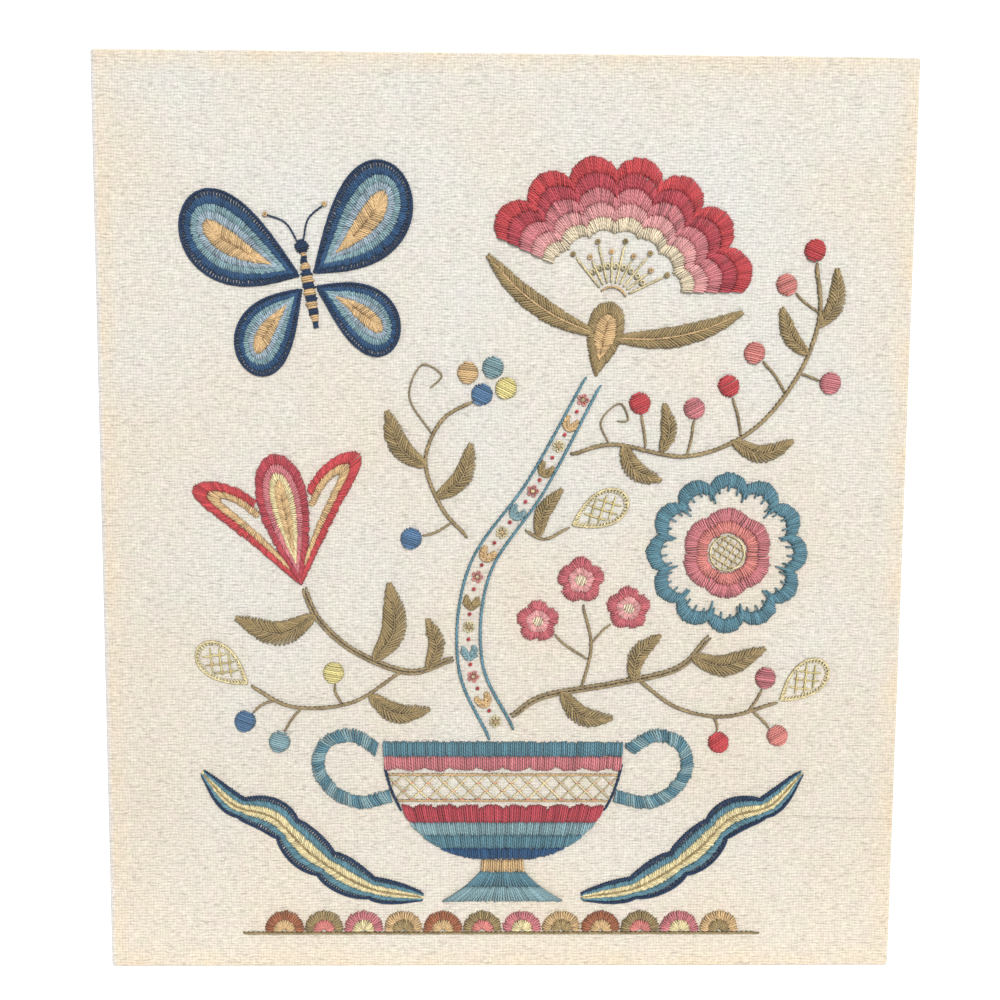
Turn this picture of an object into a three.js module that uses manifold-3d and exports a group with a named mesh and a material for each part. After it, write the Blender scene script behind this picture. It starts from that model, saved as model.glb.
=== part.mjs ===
// Crewel embroidery panel: linen stretched over a wooden stretcher frame and worked in crewel wool.
// Millimetres. The panel lies on its back: +X to the right, +Y to the top of the design, +Z out of
// the face. Places in the design are x and y from the middle of the face, and angles are in degrees
// clockwise from straight up.
import * as THREE from "three";
import { mergeVertices } from "three/addons/utils/BufferGeometryUtils.js";
import Module from "manifold-3d";

// Panel
const panelWidth = 355.6;
const panelHeight = 406.4;
const clothThickness = 1.2;
const clothCornerRadius = 1.8;
const clothEdgeRadius = 1.4;
const turnedIn = 26;
const turnedInCorner = 2;
const gap = 0.3;

// Stretcher bars
const barWidth = 40;
const barDepth = 18;
const barSlope = 1.6;
const mitreGap = 0.3;

// Stitching
const satinHeight = 1;
const stemHeight = 0.9;
const openHeight = 0.7;
const edgeShare = 0.5;
const grooveShare = 0.6;
const crownShare = 0.86;
const petalMiddle = 0.55;

const panelDepth = barDepth + 2 * (clothThickness + gap);
const woolBase = panelDepth + gap;

const linenColor = "#e9e1d2";
const pineColor = "#d3b587";
const wool = {
  red: "#bb585a",
  pink: "#cf9092",
  coral: "#d7938d",
  royal: "#38587a",
  blue: "#5a7e9e",
  teal: "#6f97a0",
  aqua: "#8facb0",
  navy: "#2a4462",
  olive: "#96835c",
  gold: "#d9b984",
  yellow: "#ece19e",
  paleYellow: "#e9dcb0",
};

// The large fan-shaped bloom, its five graded bands, the open work at its heart and its cup
const bloom = { at: [46, 98], turn: 12 };
const bloomBands = {
  pitch: 148 / 7,
  tip: 0.1,
  from: -74,
  to: 74,
  steps: 63,
  rails: [
    { radius: 63, notch: 0.14 },
    { radius: 56, notch: 0.13 },
    { radius: 49.5, notch: 0.12 },
    { radius: 43, notch: 0.11 },
    { radius: 37, notch: 0.1 },
    { radius: 31.5, notch: 0.08 },
  ],
};
const bloomHeart = {
  pitch: 360,
  tip: 0,
  from: -60,
  to: 60,
  steps: 20,
  rails: [
    { radius: 27, notch: 0 },
    { radius: 17, notch: 0 },
    { radius: 7, notch: 0 },
  ],
};
const bloomCup = { root: [0, -33], axis: 0, length: 33, spread: 30, power: 0.5, steps: 24 };
const bloomSepals = { half: 4.2, steps: 12, line: [[5, -15], [24, -11], [42, -3], [57, 8]] };

// The blue flower with a ring and an open heart
const aster = { at: [99, -12] };
const asterEdge = {
  pitch: 30,
  tip: 0.1,
  from: 0,
  to: 360,
  steps: 96,
  rails: [
    { radius: 36, notch: 0.17 },
    { radius: 30, notch: 0.18 },
  ],
};
const asterRing = {
  pitch: 60,
  tip: 0,
  from: 0,
  to: 360,
  steps: 48,
  rails: [
    { radius: 20, notch: 0.12 },
    { radius: 14.5, notch: 0.12 },
    { radius: 9.5, notch: 0.1 },
  ],
};
const asterHeart = 7.6;

// The butterfly
const butterfly = { at: [-86, 106], turn: -10 };
const upperWing = { rootY: 3, axis: 60, length: 57, spread: 36, power: 0.45, bend: -12 };
const lowerWing = { rootY: -3, axis: 126, length: 42, spread: 35, power: 0.42, bend: 12 };
const wings = [
  { name: "wing_upper_left", side: -1, ...upperWing },
  { name: "wing_upper_right", side: 1, ...upperWing },
  { name: "wing_lower_left", side: -1, ...lowerWing },
  { name: "wing_lower_right", side: 1, ...lowerWing },
];
const wingRootX = 3.4;
const wingSteps = 36;
const butterflyBody = { half: 2.1, line: [[0, -20], [0, 0], [0, 13]] };
const butterflyHead = { at: [0, 15], radius: 2.9 };
const feelers = { half: 0.55, line: [[1.2, 17], [5, 26], [13, 31]], knob: 1.4 };

// The tulip
const tulip = { at: [-90, -27], turn: -12 };
const tulipPetals = [
  { axis: -21, length: 64, spread: 17, power: 0.6, bend: -14 },
  { axis: 21, length: 64, spread: 17, power: 0.6, bend: 14 },
  { axis: 0, length: 59, spread: 23, power: 0.5, bend: 0 },
];
const tulipSteps = 28;

// The footed bowl: half its width at a height, then the rows worked across it
const bowl = {
  top: -98,
  topHalf: 54,
  waist: -152.3,
  waistHalf: 9,
  footTop: -157,
  footBottom: -172,
  footHalf: 27,
};
const bowlRows = [
  {
    name: "bowl_rim",
    wool: "royal",
    height: satinHeight,
    steps: 36,
    rails: [{ y: -98 }, { y: -104.5 }, { y: -109, wave: 2 }],
  },
  {
    name: "bowl_lattice",
    wool: "paleYellow",
    height: openHeight,
    steps: 8,
    rails: [{ y: -113 }, { y: -125 }],
  },
  {
    name: "bowl_belly",
    wool: "blue",
    height: satinHeight,
    steps: 36,
    rails: [{ y: -129, wave: -2 }, { y: -135 }, { y: -141 }, { y: -147 }, { y: -152 }],
  },
  {
    name: "bowl_foot",
    wool: "teal",
    height: satinHeight,
    steps: 8,
    rails: [{ y: -152.6 }, { y: -158 }, { y: -165 }, { y: -172 }],
  },
];
const bowlWaves = 9;
const handle = {
  half: 2.9,
  steps: 18,
  line: [[56.4, -102], [68, -95], [80, -99], [83, -111], [75, -122], [64, -126], [50.9, -123]],
};

// The lobed leaf beside the bowl, and its mirror image
const curledLeaf = {
  half: 8.6,
  lobes: 5,
  steps: 40,
  line: [[36, -170], [62, -165], [86, -150], [103, -133], [121, -127], [135, -112]],
};

const lobeFloor = 0.7;

// The row of half rounds that the bowl stands on
const ground = { y: -187, half: 118, lineHalf: 1.1, radius: 8.6, pitch: 18, count: 12, lift: 1.6 };

// Stems with their twigs and leaves
const mainStem = {
  rootHalf: 6.6,
  tipHalf: 4.4,
  steps: 28,
  line: [[-0.6, -94.8], [-15, -62], [-11, -20], [14, 18], [38.4, 63.9]],
};
const sprays = [
  {
    name: "spray_tulip",
    lines: [
      { half: 1.7, line: [[-22.6, -59.8], [-42, -66], [-66, -57], [-82, -43], [-89, -28.5]] },
      { half: 1.2, line: [[-46, -66], [-68, -80], [-94, -82], [-113, -72.5]] },
      { half: 0.9, line: [[-72, -80.5], [-75, -76], [-75.6, -71.6]] },
      { half: 0.9, line: [[-90, -82], [-95, -88], [-98, -93.6]] },
      { half: 0.9, line: [[-102, -79], [-108, -81], [-112, -85]] },
    ],
    leaves: [
      { half: 5, line: [[-58, -61], [-49, -47], [-51, -26]] },
      { half: 5, line: [[-84, -40.5], [-100, -49], [-119, -42]] },
      { half: 4, line: [[-60, -76.5], [-48, -85], [-33, -83]] },
      { half: 3.2, line: [[-34, -64.5], [-30, -54], [-34, -42]] },
    ],
  },
  {
    name: "spray_aster",
    lines: [
      { half: 1.7, line: [[3.4, -86.4], [18, -77], [50, -71], [78, -64], [92, -49.4]] },
      { half: 1.2, line: [[60, -69], [78, -82], [100, -86], [123.4, -79.4]] },
      { half: 0.9, line: [[94, -85.6], [96, -89], [96.6, -93]] },
      { half: 0.9, line: [[112, -83.6], [117, -88], [120, -91.4]] },
      { half: 0.9, line: [[110, -84], [114, -78], [116, -73.4]] },
      { half: 1, line: [[35, -73], [39, -54], [35, -35.4]] },
      { half: 0.8, line: [[38, -54], [44, -47], [47.6, -44]] },
      { half: 0.8, line: [[37.6, -60], [28, -54], [22.6, -49]] },
    ],
    leaves: [
      { half: 4.5, line: [[84, -58.5], [99, -63], [117, -55]] },
      { half: 4, line: [[26, -75], [35, -86], [49, -87]] },
      { half: 3.4, line: [[58, -70], [60, -58], [70, -49]] },
    ],
  },
  {
    name: "spray_left",
    lines: [
      { half: 1.3, line: [[-16.2, -5.6], [-28, 8], [-35, 28], [-28, 46], [-14.6, 54.6]] },
      { half: 0.9, line: [[-23, 1.6], [-30, -3], [-36.4, -5]] },
      { half: 0.6, line: [[-32, 40], [-42, 56], [-37, 70], [-28, 66], [-33, 60]] },
    ],
    leaves: [
      { half: 3.8, line: [[-30, 12], [-19, 21], [-15, 36]] },
      { half: 4.2, line: [[-35, 26], [-46, 34], [-52, 50]] },
    ],
  },
  {
    name: "spray_right",
    lines: [
      {
        half: 1.4,
        line: [[28.8, 31.4], [48, 36], [80, 31], [108, 42], [128, 66], [137, 92], [135, 115.6]],
      },
      { half: 0.9, line: [[62, 34.5], [61, 42], [59.6, 49]] },
      { half: 0.9, line: [[80, 31], [82, 39], [82.8, 46.8]] },
      { half: 0.9, line: [[104, 40], [102, 50], [99.6, 56.8]] },
      { half: 0.9, line: [[123, 59], [118, 67], [112.6, 72.6]] },
      { half: 0.9, line: [[128.6, 68], [134, 66], [138, 64.6]] },
      { half: 0.9, line: [[137, 94], [131, 98], [126.2, 102.4]] },
      { half: 0.6, line: [[46, 35.6], [42, 46], [50, 54], [54, 47], [49, 46]] },
    ],
    leaves: [
      { half: 3.8, line: [[52, 36], [57, 25], [69, 20]] },
      { half: 3.6, line: [[100, 38], [113, 32], [127, 38]] },
      { half: 3.4, line: [[136.6, 88], [144, 98], [144.4, 113]] },
      { half: 3, line: [[69, 33], [72, 42], [70, 54]] },
      { half: 3.2, line: [[132.4, 76], [125, 83], [120.4, 96]] },
    ],
  },
  {
    name: "twig_middle",
    lines: [{ half: 1, line: [[8.8, -2.2], [18, -6], [28.6, -0.6]] }],
    leaves: [{ half: 3, line: [[15, -5], [17, 6], [25, 16]] }],
  },
];
const lineSpacing = 5.5;
const leafSpacing = 4;

const latticeLeaves = [
  { name: "lattice_leaf_left", at: [-114.4, -71.6], axis: -52, length: 27 },
  { name: "lattice_leaf_right", at: [124.6, -78.6], axis: 50, length: 26 },
  { name: "lattice_leaf_middle", at: [30, 0.2], axis: 62, length: 27 },
];
const latticeLeafForm = { spread: 36, power: 0.55, steps: 24 };

const pinks = [
  { name: "pink_upper", at: [34, -24.4], radius: 10.4 },
  { name: "pink_right", at: [55.4, -37], radius: 9.8 },
  { name: "pink_left", at: [15, -43], radius: 9.4 },
];
const pinkForm = { pitch: 72, tip: 0, notch: 0.42, steps: 40 };

const berryRadius = 4.7;
const berrySteps = 12;
const berries = [
  { name: "berry_right_1", wool: "red", at: [59, 54.2] },
  { name: "berry_right_2", wool: "pink", at: [83, 52] },
  { name: "berry_right_3", wool: "red", at: [98, 62] },
  { name: "berry_right_4", wool: "coral", at: [109, 76.4] },
  { name: "berry_right_5", wool: "pink", at: [142.8, 63.4] },
  { name: "berry_right_6", wool: "coral", at: [122.4, 106] },
  { name: "berry_right_7", wool: "red", at: [134.4, 120.8] },
  { name: "berry_left_1", wool: "blue", at: [-10.4, 57.6] },
  { name: "berry_left_2", wool: "yellow", at: [0.2, 60.4] },
  { name: "berry_left_3", wool: "aqua", at: [-5.6, 69.4] },
  { name: "berry_left_4", wool: "gold", at: [-16.6, 67] },
  { name: "berry_left_5", wool: "blue", at: [-41.4, -6] },
  { name: "berry_low_1", wool: "yellow", at: [-76, -66.4] },
  { name: "berry_low_2", wool: "aqua", at: [-100.4, -98] },
  { name: "berry_low_3", wool: "blue", at: [-115.6, -88.6] },
  { name: "berry_drop_1", wool: "red", at: [97, -98] },
  { name: "berry_drop_2", wool: "coral", at: [123.6, -94.8] },
  { name: "berry_drop_3", wool: "pink", at: [117.6, -68.4] },
];

const wasm = await Module();
wasm.setup();

// Points and lines in the plane

const rad = (degrees) => (degrees * Math.PI) / 180;
const between = ([x, y], [u, v], share) => [x + (u - x) * share, y + (v - y) * share];
const mirrored = (line) => line.map(([x, y]) => [-x, y]);
const polar = (angle, radius) => [radius * Math.sin(rad(angle)), radius * Math.cos(rad(angle))];
const evenly = (count, from, to) =>
  Array.from({ length: count }, (_, i) => from + ((to - from) * i) / (count - 1));

// Moves a motif's own point to its place on the panel and turns it clockwise.
function placed([x, y], turn = 0) {
  const c = Math.cos(rad(turn));
  const s = Math.sin(rad(turn));
  return ([u, v]) => [x + u * c + v * s, y - u * s + v * c];
}

// Height of one scallop across itself, 0 at its sides and 1 in the middle. Tip draws it up to a point.
function scallop(across, tip) {
  const x = Math.min(1, Math.abs(across));
  return (1 - tip) * Math.sqrt(1 - x * x) + tip * (1 - x) ** 1.5;
}

// Radius of a scalloped edge at an angle. Notch is how deep the scallops are cut, as a share.
function scallopedRadius(angle, { radius, notch }, pitch, tip) {
  const turns = angle / pitch;
  return radius * (1 - notch * (1 - scallop(2 * (turns - Math.round(turns)), tip)));
}

function scallopedOutline(at, form) {
  const place = placed(at);
  const angles = evenly(form.steps + 1, 360, 0).slice(1);
  const { pitch, tip } = form;
  return angles.map((angle) => place(polar(angle, scallopedRadius(angle, form, pitch, tip))));
}

// A petal grows from its root along an axis, as wide as its spread, and may bend sideways.
function petalOutline({ root = [0, 0], axis, length, spread, power, bend = 0, steps }) {
  const place = placed(root);
  const sides = evenly(steps + 1, 1, -1).slice(1, -1);
  const rim = sides.map((side) => {
    const share = Math.cos((side * Math.PI) / 2) ** power;
    return place(polar(axis + side * spread + bend * share ** 2, length * share));
  });
  return [root, ...rim];
}

function discOutline(at, radius, steps, from = 0, to = 360) {
  const place = placed(at);
  const whole = to - from >= 360;
  const angles = evenly(steps + (whole ? 1 : 0), to, from);
  return (whole ? angles.slice(1) : angles).map((angle) => place(polar(angle, radius)));
}

// The two edges of a line of stitches. Half is its half width at a share of its length.
function besideLine({ line, steps }, half) {
  const curve = new THREE.CatmullRomCurve3(
    line.map(([x, y]) => new THREE.Vector3(x, y, 0)),
    false,
    "catmullrom",
    0.5
  );
  const count = steps + 1;
  const edge = (side) =>
    evenly(count, 0, 1).map((share) => {
      const at = curve.getPointAt(share);
      const along = curve.getTangentAt(share);
      return [at.x - along.y * side * half(share), at.y + along.x * side * half(share)];
    });
  return [edge(1), edge(-1)];
}

const lineLength = (line) =>
  line.slice(1).reduce((sum, [x, y], i) => sum + Math.hypot(x - line[i][0], y - line[i][1]), 0);
const evenWidth = (half) => () => half;
const taperedWidth = (from, to) => (share) => from + (to - from) * share;
const leafWidth = (half) => (share) => 0.35 + half * Math.sin(Math.PI * (0.04 + 0.945 * share)) ** 0.8;
const lobedWidth = (half, lobes) => (share) =>
  leafWidth(half)(share) * (lobeFloor + (1 - lobeFloor) * Math.abs(Math.sin(Math.PI * lobes * share)) ** 0.6);

// Closed meshes

function fromTriangles(points, triangles) {
  const geometry = new THREE.BufferGeometry();
  geometry.setAttribute("position", new THREE.Float32BufferAttribute(points.flat(), 3));
  geometry.setIndex(triangles.flat());
  return geometry;
}

function toSolid(geometry) {
  const plain = geometry.clone();
  plain.deleteAttribute("normal");
  plain.deleteAttribute("uv");
  const merged = mergeVertices(plain, 1e-4);
  return new wasm.Manifold(
    new wasm.Mesh({
      numProp: 3,
      vertProperties: new Float32Array(merged.attributes.position.array),
      triVerts: new Uint32Array(merged.index.array),
    })
  );
}

function toGeometry(solid) {
  const { vertProperties, triVerts } = solid.getMesh();
  const geometry = new THREE.BufferGeometry();
  geometry.setAttribute("position", new THREE.BufferAttribute(new Float32Array(vertProperties), 3));
  geometry.setIndex([...triVerts]);
  return geometry;
}

// One mesh of meshes that run into each other.
function joined(geometries) {
  return toGeometry(geometries.map(toSolid).reduce((sum, solid) => sum.add(solid)));
}

// A row of closed sections with the same number of points, joined up, and capped unless it is a ring.
function sweep(sections, ring = false) {
  const count = sections[0].length;
  const triangles = [];
  const pairs = ring ? sections.length : sections.length - 1;
  for (let i = 0; i < pairs; i++) {
    const here = i * count;
    const next = ((i + 1) % sections.length) * count;
    for (let j = 0; j < count; j++) {
      const k = (j + 1) % count;
      triangles.push([here + j, here + k, next + k], [here + j, next + k, next + j]);
    }
  }
  if (!ring) {
    const last = (sections.length - 1) * count;
    for (let j = 1; j < count - 1; j++) {
      triangles.push([0, j + 1, j], [last, last + j, last + j + 1]);
    }
  }
  return fromTriangles(sections.flat(), triangles);
}

// Bands of stitches side by side. Each rail is a line between two bands, as points from one end to
// the other, with the first rail on the left of the way they run. A band is highest along its middle.
function bands(rails, { ring = false, height = satinHeight } = {}) {
  const last = rails.length - 1;
  const sections = rails[0].map((_, i) => {
    const point = ([x, y], share) => [x, y, woolBase + height * share];
    const section = [point(rails[0][i], 0)];
    rails.forEach((rail, n) => {
      section.push(point(rail[i], n === 0 || n === last ? edgeShare : grooveShare));
      if (n < last) {
        section.push(point(between(rail[i], rails[n + 1][i], 0.5), 1));
      }
    });
    section.push(point(rails[last][i], 0));
    return section;
  });
  return sweep(sections, ring);
}

// Scalloped bands round a middle, from one angle to another or all the way.
function scallopedBands({ at, turn }, { rails, pitch, tip, from, to, steps }, height) {
  const place = placed(at, turn);
  const ring = to - from >= 360;
  const all = evenly(steps + 1, from, to);
  const angles = ring ? all.slice(0, -1) : all;
  const lines = rails.map((rail) =>
    angles.map((angle) => place(polar(angle, scallopedRadius(angle, rail, pitch, tip))))
  );
  return bands(lines, { ring, height });
}

// A low mound on a closed outline, anticlockwise, that can be seen whole from its middle.
function mound(outline, middle, height = satinHeight) {
  const rims = [
    { share: 1, z: woolBase },
    { share: 1, z: woolBase + height * edgeShare },
    { share: crownShare, z: woolBase + height },
  ];
  const count = outline.length;
  const points = rims.flatMap(({ share, z }) =>
    outline.map((point) => [...between(middle, point, share), z])
  );
  const low = points.push([...middle, woolBase]) - 1;
  const high = points.push([...middle, woolBase + height]) - 1;
  const triangles = [];
  for (let j = 0; j < count; j++) {
    const k = (j + 1) % count;
    triangles.push([low, k, j], [high, 2 * count + j, 2 * count + k]);
    for (const rim of [0, count]) {
      const above = rim + count;
      triangles.push([rim + j, rim + k, above + k], [rim + j, above + k, above + j]);
    }
  }
  return fromTriangles(points, triangles);
}

// Motifs

function petal(place, form, height) {
  const { root = [0, 0], axis, length, bend = 0 } = form;
  const middle = placed(root)(polar(axis + bend * petalMiddle ** 2, length * petalMiddle));
  return mound(petalOutline(form).map(place), place(middle), height);
}

function stem({ half, line }) {
  const steps = Math.max(2, Math.round(lineLength(line) / lineSpacing));
  return bands(besideLine({ line, steps }, evenWidth(half)), { height: stemHeight });
}

function leaf({ half, line }) {
  const steps = Math.round(lineLength(line) / leafSpacing);
  return bands(besideLine({ line, steps }, leafWidth(half)));
}

function spray({ lines, leaves }) {
  return joined([...lines.map(stem), ...leaves.map(leaf)]);
}

// Cup and sepals under the bloom.
function cupAndSepals() {
  const place = placed(bloom.at, bloom.turn);
  const sepals = [bloomSepals.line, mirrored(bloomSepals.line)].map((line) =>
    bands(besideLine({ line: line.map(place), steps: bloomSepals.steps }, leafWidth(bloomSepals.half)))
  );
  return joined([petal(place, bloomCup), ...sepals]);
}

function wing({ side, rootY, axis, bend, ...form }) {
  const place = placed(butterfly.at, butterfly.turn);
  const root = [side * wingRootX, rootY];
  return petal(place, { root, axis: side * axis, bend: side * bend, steps: wingSteps, ...form });
}

// Body, head and feelers of the butterfly.
function bodyAndFeelers() {
  const place = placed(butterfly.at, butterfly.turn);
  const body = bands(
    besideLine({ line: butterflyBody.line.map(place), steps: 10 }, leafWidth(butterflyBody.half))
  );
  const head = place(butterflyHead.at);
  const pieces = [body, mound(discOutline(head, butterflyHead.radius, 12), head)];
  for (const line of [feelers.line, mirrored(feelers.line)]) {
    const knob = place(line[line.length - 1]);
    pieces.push(stem({ half: feelers.half, line: line.map(place) }));
    pieces.push(mound(discOutline(knob, feelers.knob, 8), knob));
  }
  return joined(pieces);
}

function tulipHead() {
  const place = placed(tulip.at, tulip.turn);
  return joined(tulipPetals.map((form) => petal(place, { steps: tulipSteps, ...form })));
}

// Half the bowl's width at a height: round down to its waist, then flared out to its foot.
function bowlHalfWidth(y) {
  if (y > bowl.waist) {
    const down = (bowl.top - y) / (bowl.top - bowl.waist);
    return bowl.waistHalf + (bowl.topHalf - bowl.waistHalf) * Math.sqrt(1 - down * down);
  }
  const down = Math.max(0, bowl.footTop - y) / (bowl.footTop - bowl.footBottom);
  return bowl.waistHalf + (bowl.footHalf - bowl.waistHalf) * down ** 1.4;
}

function bowlRow({ rails, steps, height }) {
  const lines = rails.map(({ y, wave = 0 }) =>
    evenly(steps + 1, -1, 1).map((across) => {
      const turns = (across * bowlWaves) / 2 + 0.5;
      const lift = wave * scallop(2 * (turns - Math.round(turns)), 0);
      return [across * bowlHalfWidth(y), y - lift];
    })
  );
  return bands(lines, { height });
}

// Half rounds side by side on a line of stem stitch.
function groundRow() {
  const { y, half, lineHalf, radius, pitch, count, lift } = ground;
  const first = (-pitch * (count - 1)) / 2;
  const rounds = evenly(count, first, -first).map((x) =>
    mound(discOutline([x, y + lift / 2], radius, 9, -90, 90), [x, y + lift + radius * 0.3])
  );
  return joined([stem({ half: lineHalf, line: [[-half, y], [0, y], [half, y]] }), ...rounds]);
}

// Panel

function roundedRectangle(width, height, radius) {
  const x = width / 2 - radius;
  const y = height / 2 - radius;
  const shape = new THREE.Shape();
  shape.absarc(x, y, radius, 0, Math.PI / 2, false);
  shape.absarc(-x, y, radius, Math.PI / 2, Math.PI, false);
  shape.absarc(-x, -y, radius, Math.PI, 1.5 * Math.PI, false);
  shape.absarc(x, -y, radius, 1.5 * Math.PI, 2 * Math.PI, false);
  shape.closePath();
  return shape;
}

function prism(shape, depth, z, bevel = { bevelEnabled: false }) {
  const geometry = new THREE.ExtrudeGeometry(shape, { depth, curveSegments: 4, ...bevel });
  geometry.translate(0, 0, z);
  return geometry;
}

// The linen: a tray over the bars, with its edge turned in behind them all round.
function linen() {
  const r = clothEdgeRadius;
  const outline = roundedRectangle(panelWidth - 2 * r, panelHeight - 2 * r, clothCornerRadius - r);
  const outside = prism(outline, panelDepth - 2 * r, r, {
    bevelEnabled: true,
    bevelThickness: r,
    bevelSize: r,
    bevelSegments: 3,
  });
  const inner = 2 * clothThickness;
  const cavity = prism(
    roundedRectangle(panelWidth - inner, panelHeight - inner, clothCornerRadius - clothThickness),
    panelDepth - inner,
    clothThickness
  );
  const window = prism(
    roundedRectangle(panelWidth - 2 * turnedIn, panelHeight - 2 * turnedIn, turnedInCorner),
    3 * clothThickness,
    -clothThickness
  );
  return toGeometry(toSolid(outside).subtract(toSolid(cavity)).subtract(toSolid(window)));
}

// One bar before it is mitred: highest at its outer edge, so the cloth touches it only there.
function plainBar(length, across) {
  const outer = across / 2 - clothThickness - gap;
  const inner = outer - barWidth;
  const low = clothThickness + gap;
  const profile = new THREE.Shape([
    new THREE.Vector2(inner, low),
    new THREE.Vector2(outer, low),
    new THREE.Vector2(outer, low + barDepth),
    new THREE.Vector2(inner, low + barDepth - barSlope),
  ]);
  const bar = prism(profile, length, -length / 2);
  bar.rotateX(Math.PI / 2);
  return bar;
}

function mitredBar(length, across, turn) {
  const back = mitreGap * Math.SQRT1_2;
  const reach = 2 * barWidth;
  const mitred = new THREE.Shape([
    new THREE.Vector2(across / 2 - reach, -length / 2 + reach + back),
    new THREE.Vector2(across / 2, -length / 2 + back),
    new THREE.Vector2(across / 2, length / 2 - back),
    new THREE.Vector2(across / 2 - reach, length / 2 - reach - back),
  ]);
  const fit = 2 * (clothThickness + gap);
  const frameOutline = roundedRectangle(
    panelWidth - fit,
    panelHeight - fit,
    clothCornerRadius - clothThickness - gap
  );
  const bar = plainBar(length, across).rotateZ(turn);
  const ends = prism(mitred, panelDepth, 0).rotateZ(turn);
  return toGeometry(
    toSolid(bar)
      .intersect(toSolid(ends))
      .intersect(toSolid(prism(frameOutline, panelDepth, 0)))
  );
}

const bars = [
  { name: "stretcher_bar_right", length: panelHeight, across: panelWidth, turn: 0 },
  { name: "stretcher_bar_top", length: panelWidth, across: panelHeight, turn: Math.PI / 2 },
  { name: "stretcher_bar_left", length: panelHeight, across: panelWidth, turn: Math.PI },
  { name: "stretcher_bar_bottom", length: panelWidth, across: panelHeight, turn: 1.5 * Math.PI },
];

// The whole panel

const part = new THREE.Group();

function add(name, geometry, color, roughness = 0.95) {
  const material = new THREE.MeshStandardMaterial({ color, roughness, metalness: 0 });
  const mesh = new THREE.Mesh(geometry, material);
  mesh.name = name;
  part.add(mesh);
}

add("linen", linen(), linenColor);
for (const { name, length, across, turn } of bars) {
  add(name, mitredBar(length, across, turn), pineColor, 0.7);
}

add("bloom_bands", scallopedBands(bloom, bloomBands), wool.red);
add("bloom_heart", scallopedBands(bloom, bloomHeart, openHeight), wool.paleYellow);
add("bloom_cup", cupAndSepals(), wool.olive);
add("aster_edge", scallopedBands(aster, asterEdge), wool.teal);
add("aster_ring", scallopedBands(aster, asterRing), wool.coral);
add("aster_heart", mound(discOutline(aster.at, asterHeart, 18), aster.at, openHeight), wool.paleYellow);
for (const form of wings) {
  add(form.name, wing(form), wool.blue);
}
add("butterfly_body", bodyAndFeelers(), wool.navy);
add("tulip_head", tulipHead(), wool.red);
const mainStemEdges = besideLine(mainStem, taperedWidth(mainStem.rootHalf, mainStem.tipHalf));
add("stem_main", bands(mainStemEdges, { height: stemHeight }), wool.teal);
for (const form of sprays) {
  add(form.name, spray(form), wool.olive);
}
for (const form of bowlRows) {
  add(form.name, bowlRow(form), wool[form.wool]);
}
for (const [side, turned] of [
  ["right", (line) => line],
  ["left", mirrored],
]) {
  const handleEdges = besideLine({ ...handle, line: turned(handle.line) }, evenWidth(handle.half));
  const leafEdges = besideLine(
    { ...curledLeaf, line: turned(curledLeaf.line) },
    lobedWidth(curledLeaf.half, curledLeaf.lobes)
  );
  add(`bowl_handle_${side}`, bands(handleEdges), wool.blue);
  add(`curled_leaf_${side}`, bands(leafEdges), wool.navy);
}
add("ground_row", groundRow(), wool.olive);
for (const { name, at, axis, length } of latticeLeaves) {
  add(name, petal(placed(at), { axis, length, ...latticeLeafForm }, openHeight), wool.paleYellow);
}
for (const { name, at, radius } of pinks) {
  add(name, mound(scallopedOutline(at, { radius, ...pinkForm }), at), wool.pink);
}
for (const { name, wool: shade, at } of berries) {
  add(name, mound(discOutline(at, berryRadius, berrySteps), at), wool[shade]);
}

export default part;
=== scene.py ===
import math

import bpy
import numpy as np
from mathutils.kdtree import KDTree
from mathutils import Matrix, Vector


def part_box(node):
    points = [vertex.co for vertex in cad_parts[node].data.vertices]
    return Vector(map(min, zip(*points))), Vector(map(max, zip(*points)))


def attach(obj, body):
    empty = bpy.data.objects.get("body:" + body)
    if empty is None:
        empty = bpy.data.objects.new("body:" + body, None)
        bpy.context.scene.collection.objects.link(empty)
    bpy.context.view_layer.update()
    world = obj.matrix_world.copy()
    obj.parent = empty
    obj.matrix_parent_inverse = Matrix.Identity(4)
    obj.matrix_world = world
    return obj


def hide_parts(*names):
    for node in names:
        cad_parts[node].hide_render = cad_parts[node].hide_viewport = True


# Crewel embroidery panel: the linen and every stitch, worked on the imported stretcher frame.
# Stitching is laid out in millimetres from the middle of the face, x right and y up, with angles
# in degrees clockwise from straight up.

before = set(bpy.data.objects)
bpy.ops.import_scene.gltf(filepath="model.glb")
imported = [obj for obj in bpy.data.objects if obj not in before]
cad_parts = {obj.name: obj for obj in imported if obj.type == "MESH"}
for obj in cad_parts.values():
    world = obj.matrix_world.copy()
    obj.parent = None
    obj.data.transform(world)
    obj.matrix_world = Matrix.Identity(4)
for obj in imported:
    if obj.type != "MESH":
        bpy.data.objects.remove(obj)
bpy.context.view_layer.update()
print("frame loaded,", len(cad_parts), "nodes")

millimetre = 0.001
halfWidth, halfHeight, faceHeight = [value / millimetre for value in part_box("linen")[1]]


def dyed(red, green, blue):  # screen colour to the light it gives back
    steps = np.array([red, green, blue]) / 255
    return np.where(steps <= 0.04045, steps / 12.92, ((steps + 0.055) / 1.055) ** 2.4)


def newObject(name, data):
    thing = bpy.data.objects.new(name, data)
    bpy.context.collection.objects.link(thing)
    return thing


# Camera, over the panel and a little above its middle, at the angle of the photo

cameraSettings = {
    "lens": 39.6,
    "location": (-0.00963, 0.05187, 0.50497),
    "turn": (-4.805, -0.853, 0.353),
}
camera = newObject("camera", bpy.data.cameras.new("camera"))
camera.data.lens = cameraSettings["lens"]
camera.location = cameraSettings["location"]
camera.rotation_euler = [math.radians(turn) for turn in cameraSettings["turn"]]
bpy.context.scene.camera = camera
bpy.context.scene.view_settings.view_transform = "Standard"

# Studio: white surroundings, a soft box from the upper right and a pale floor

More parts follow.
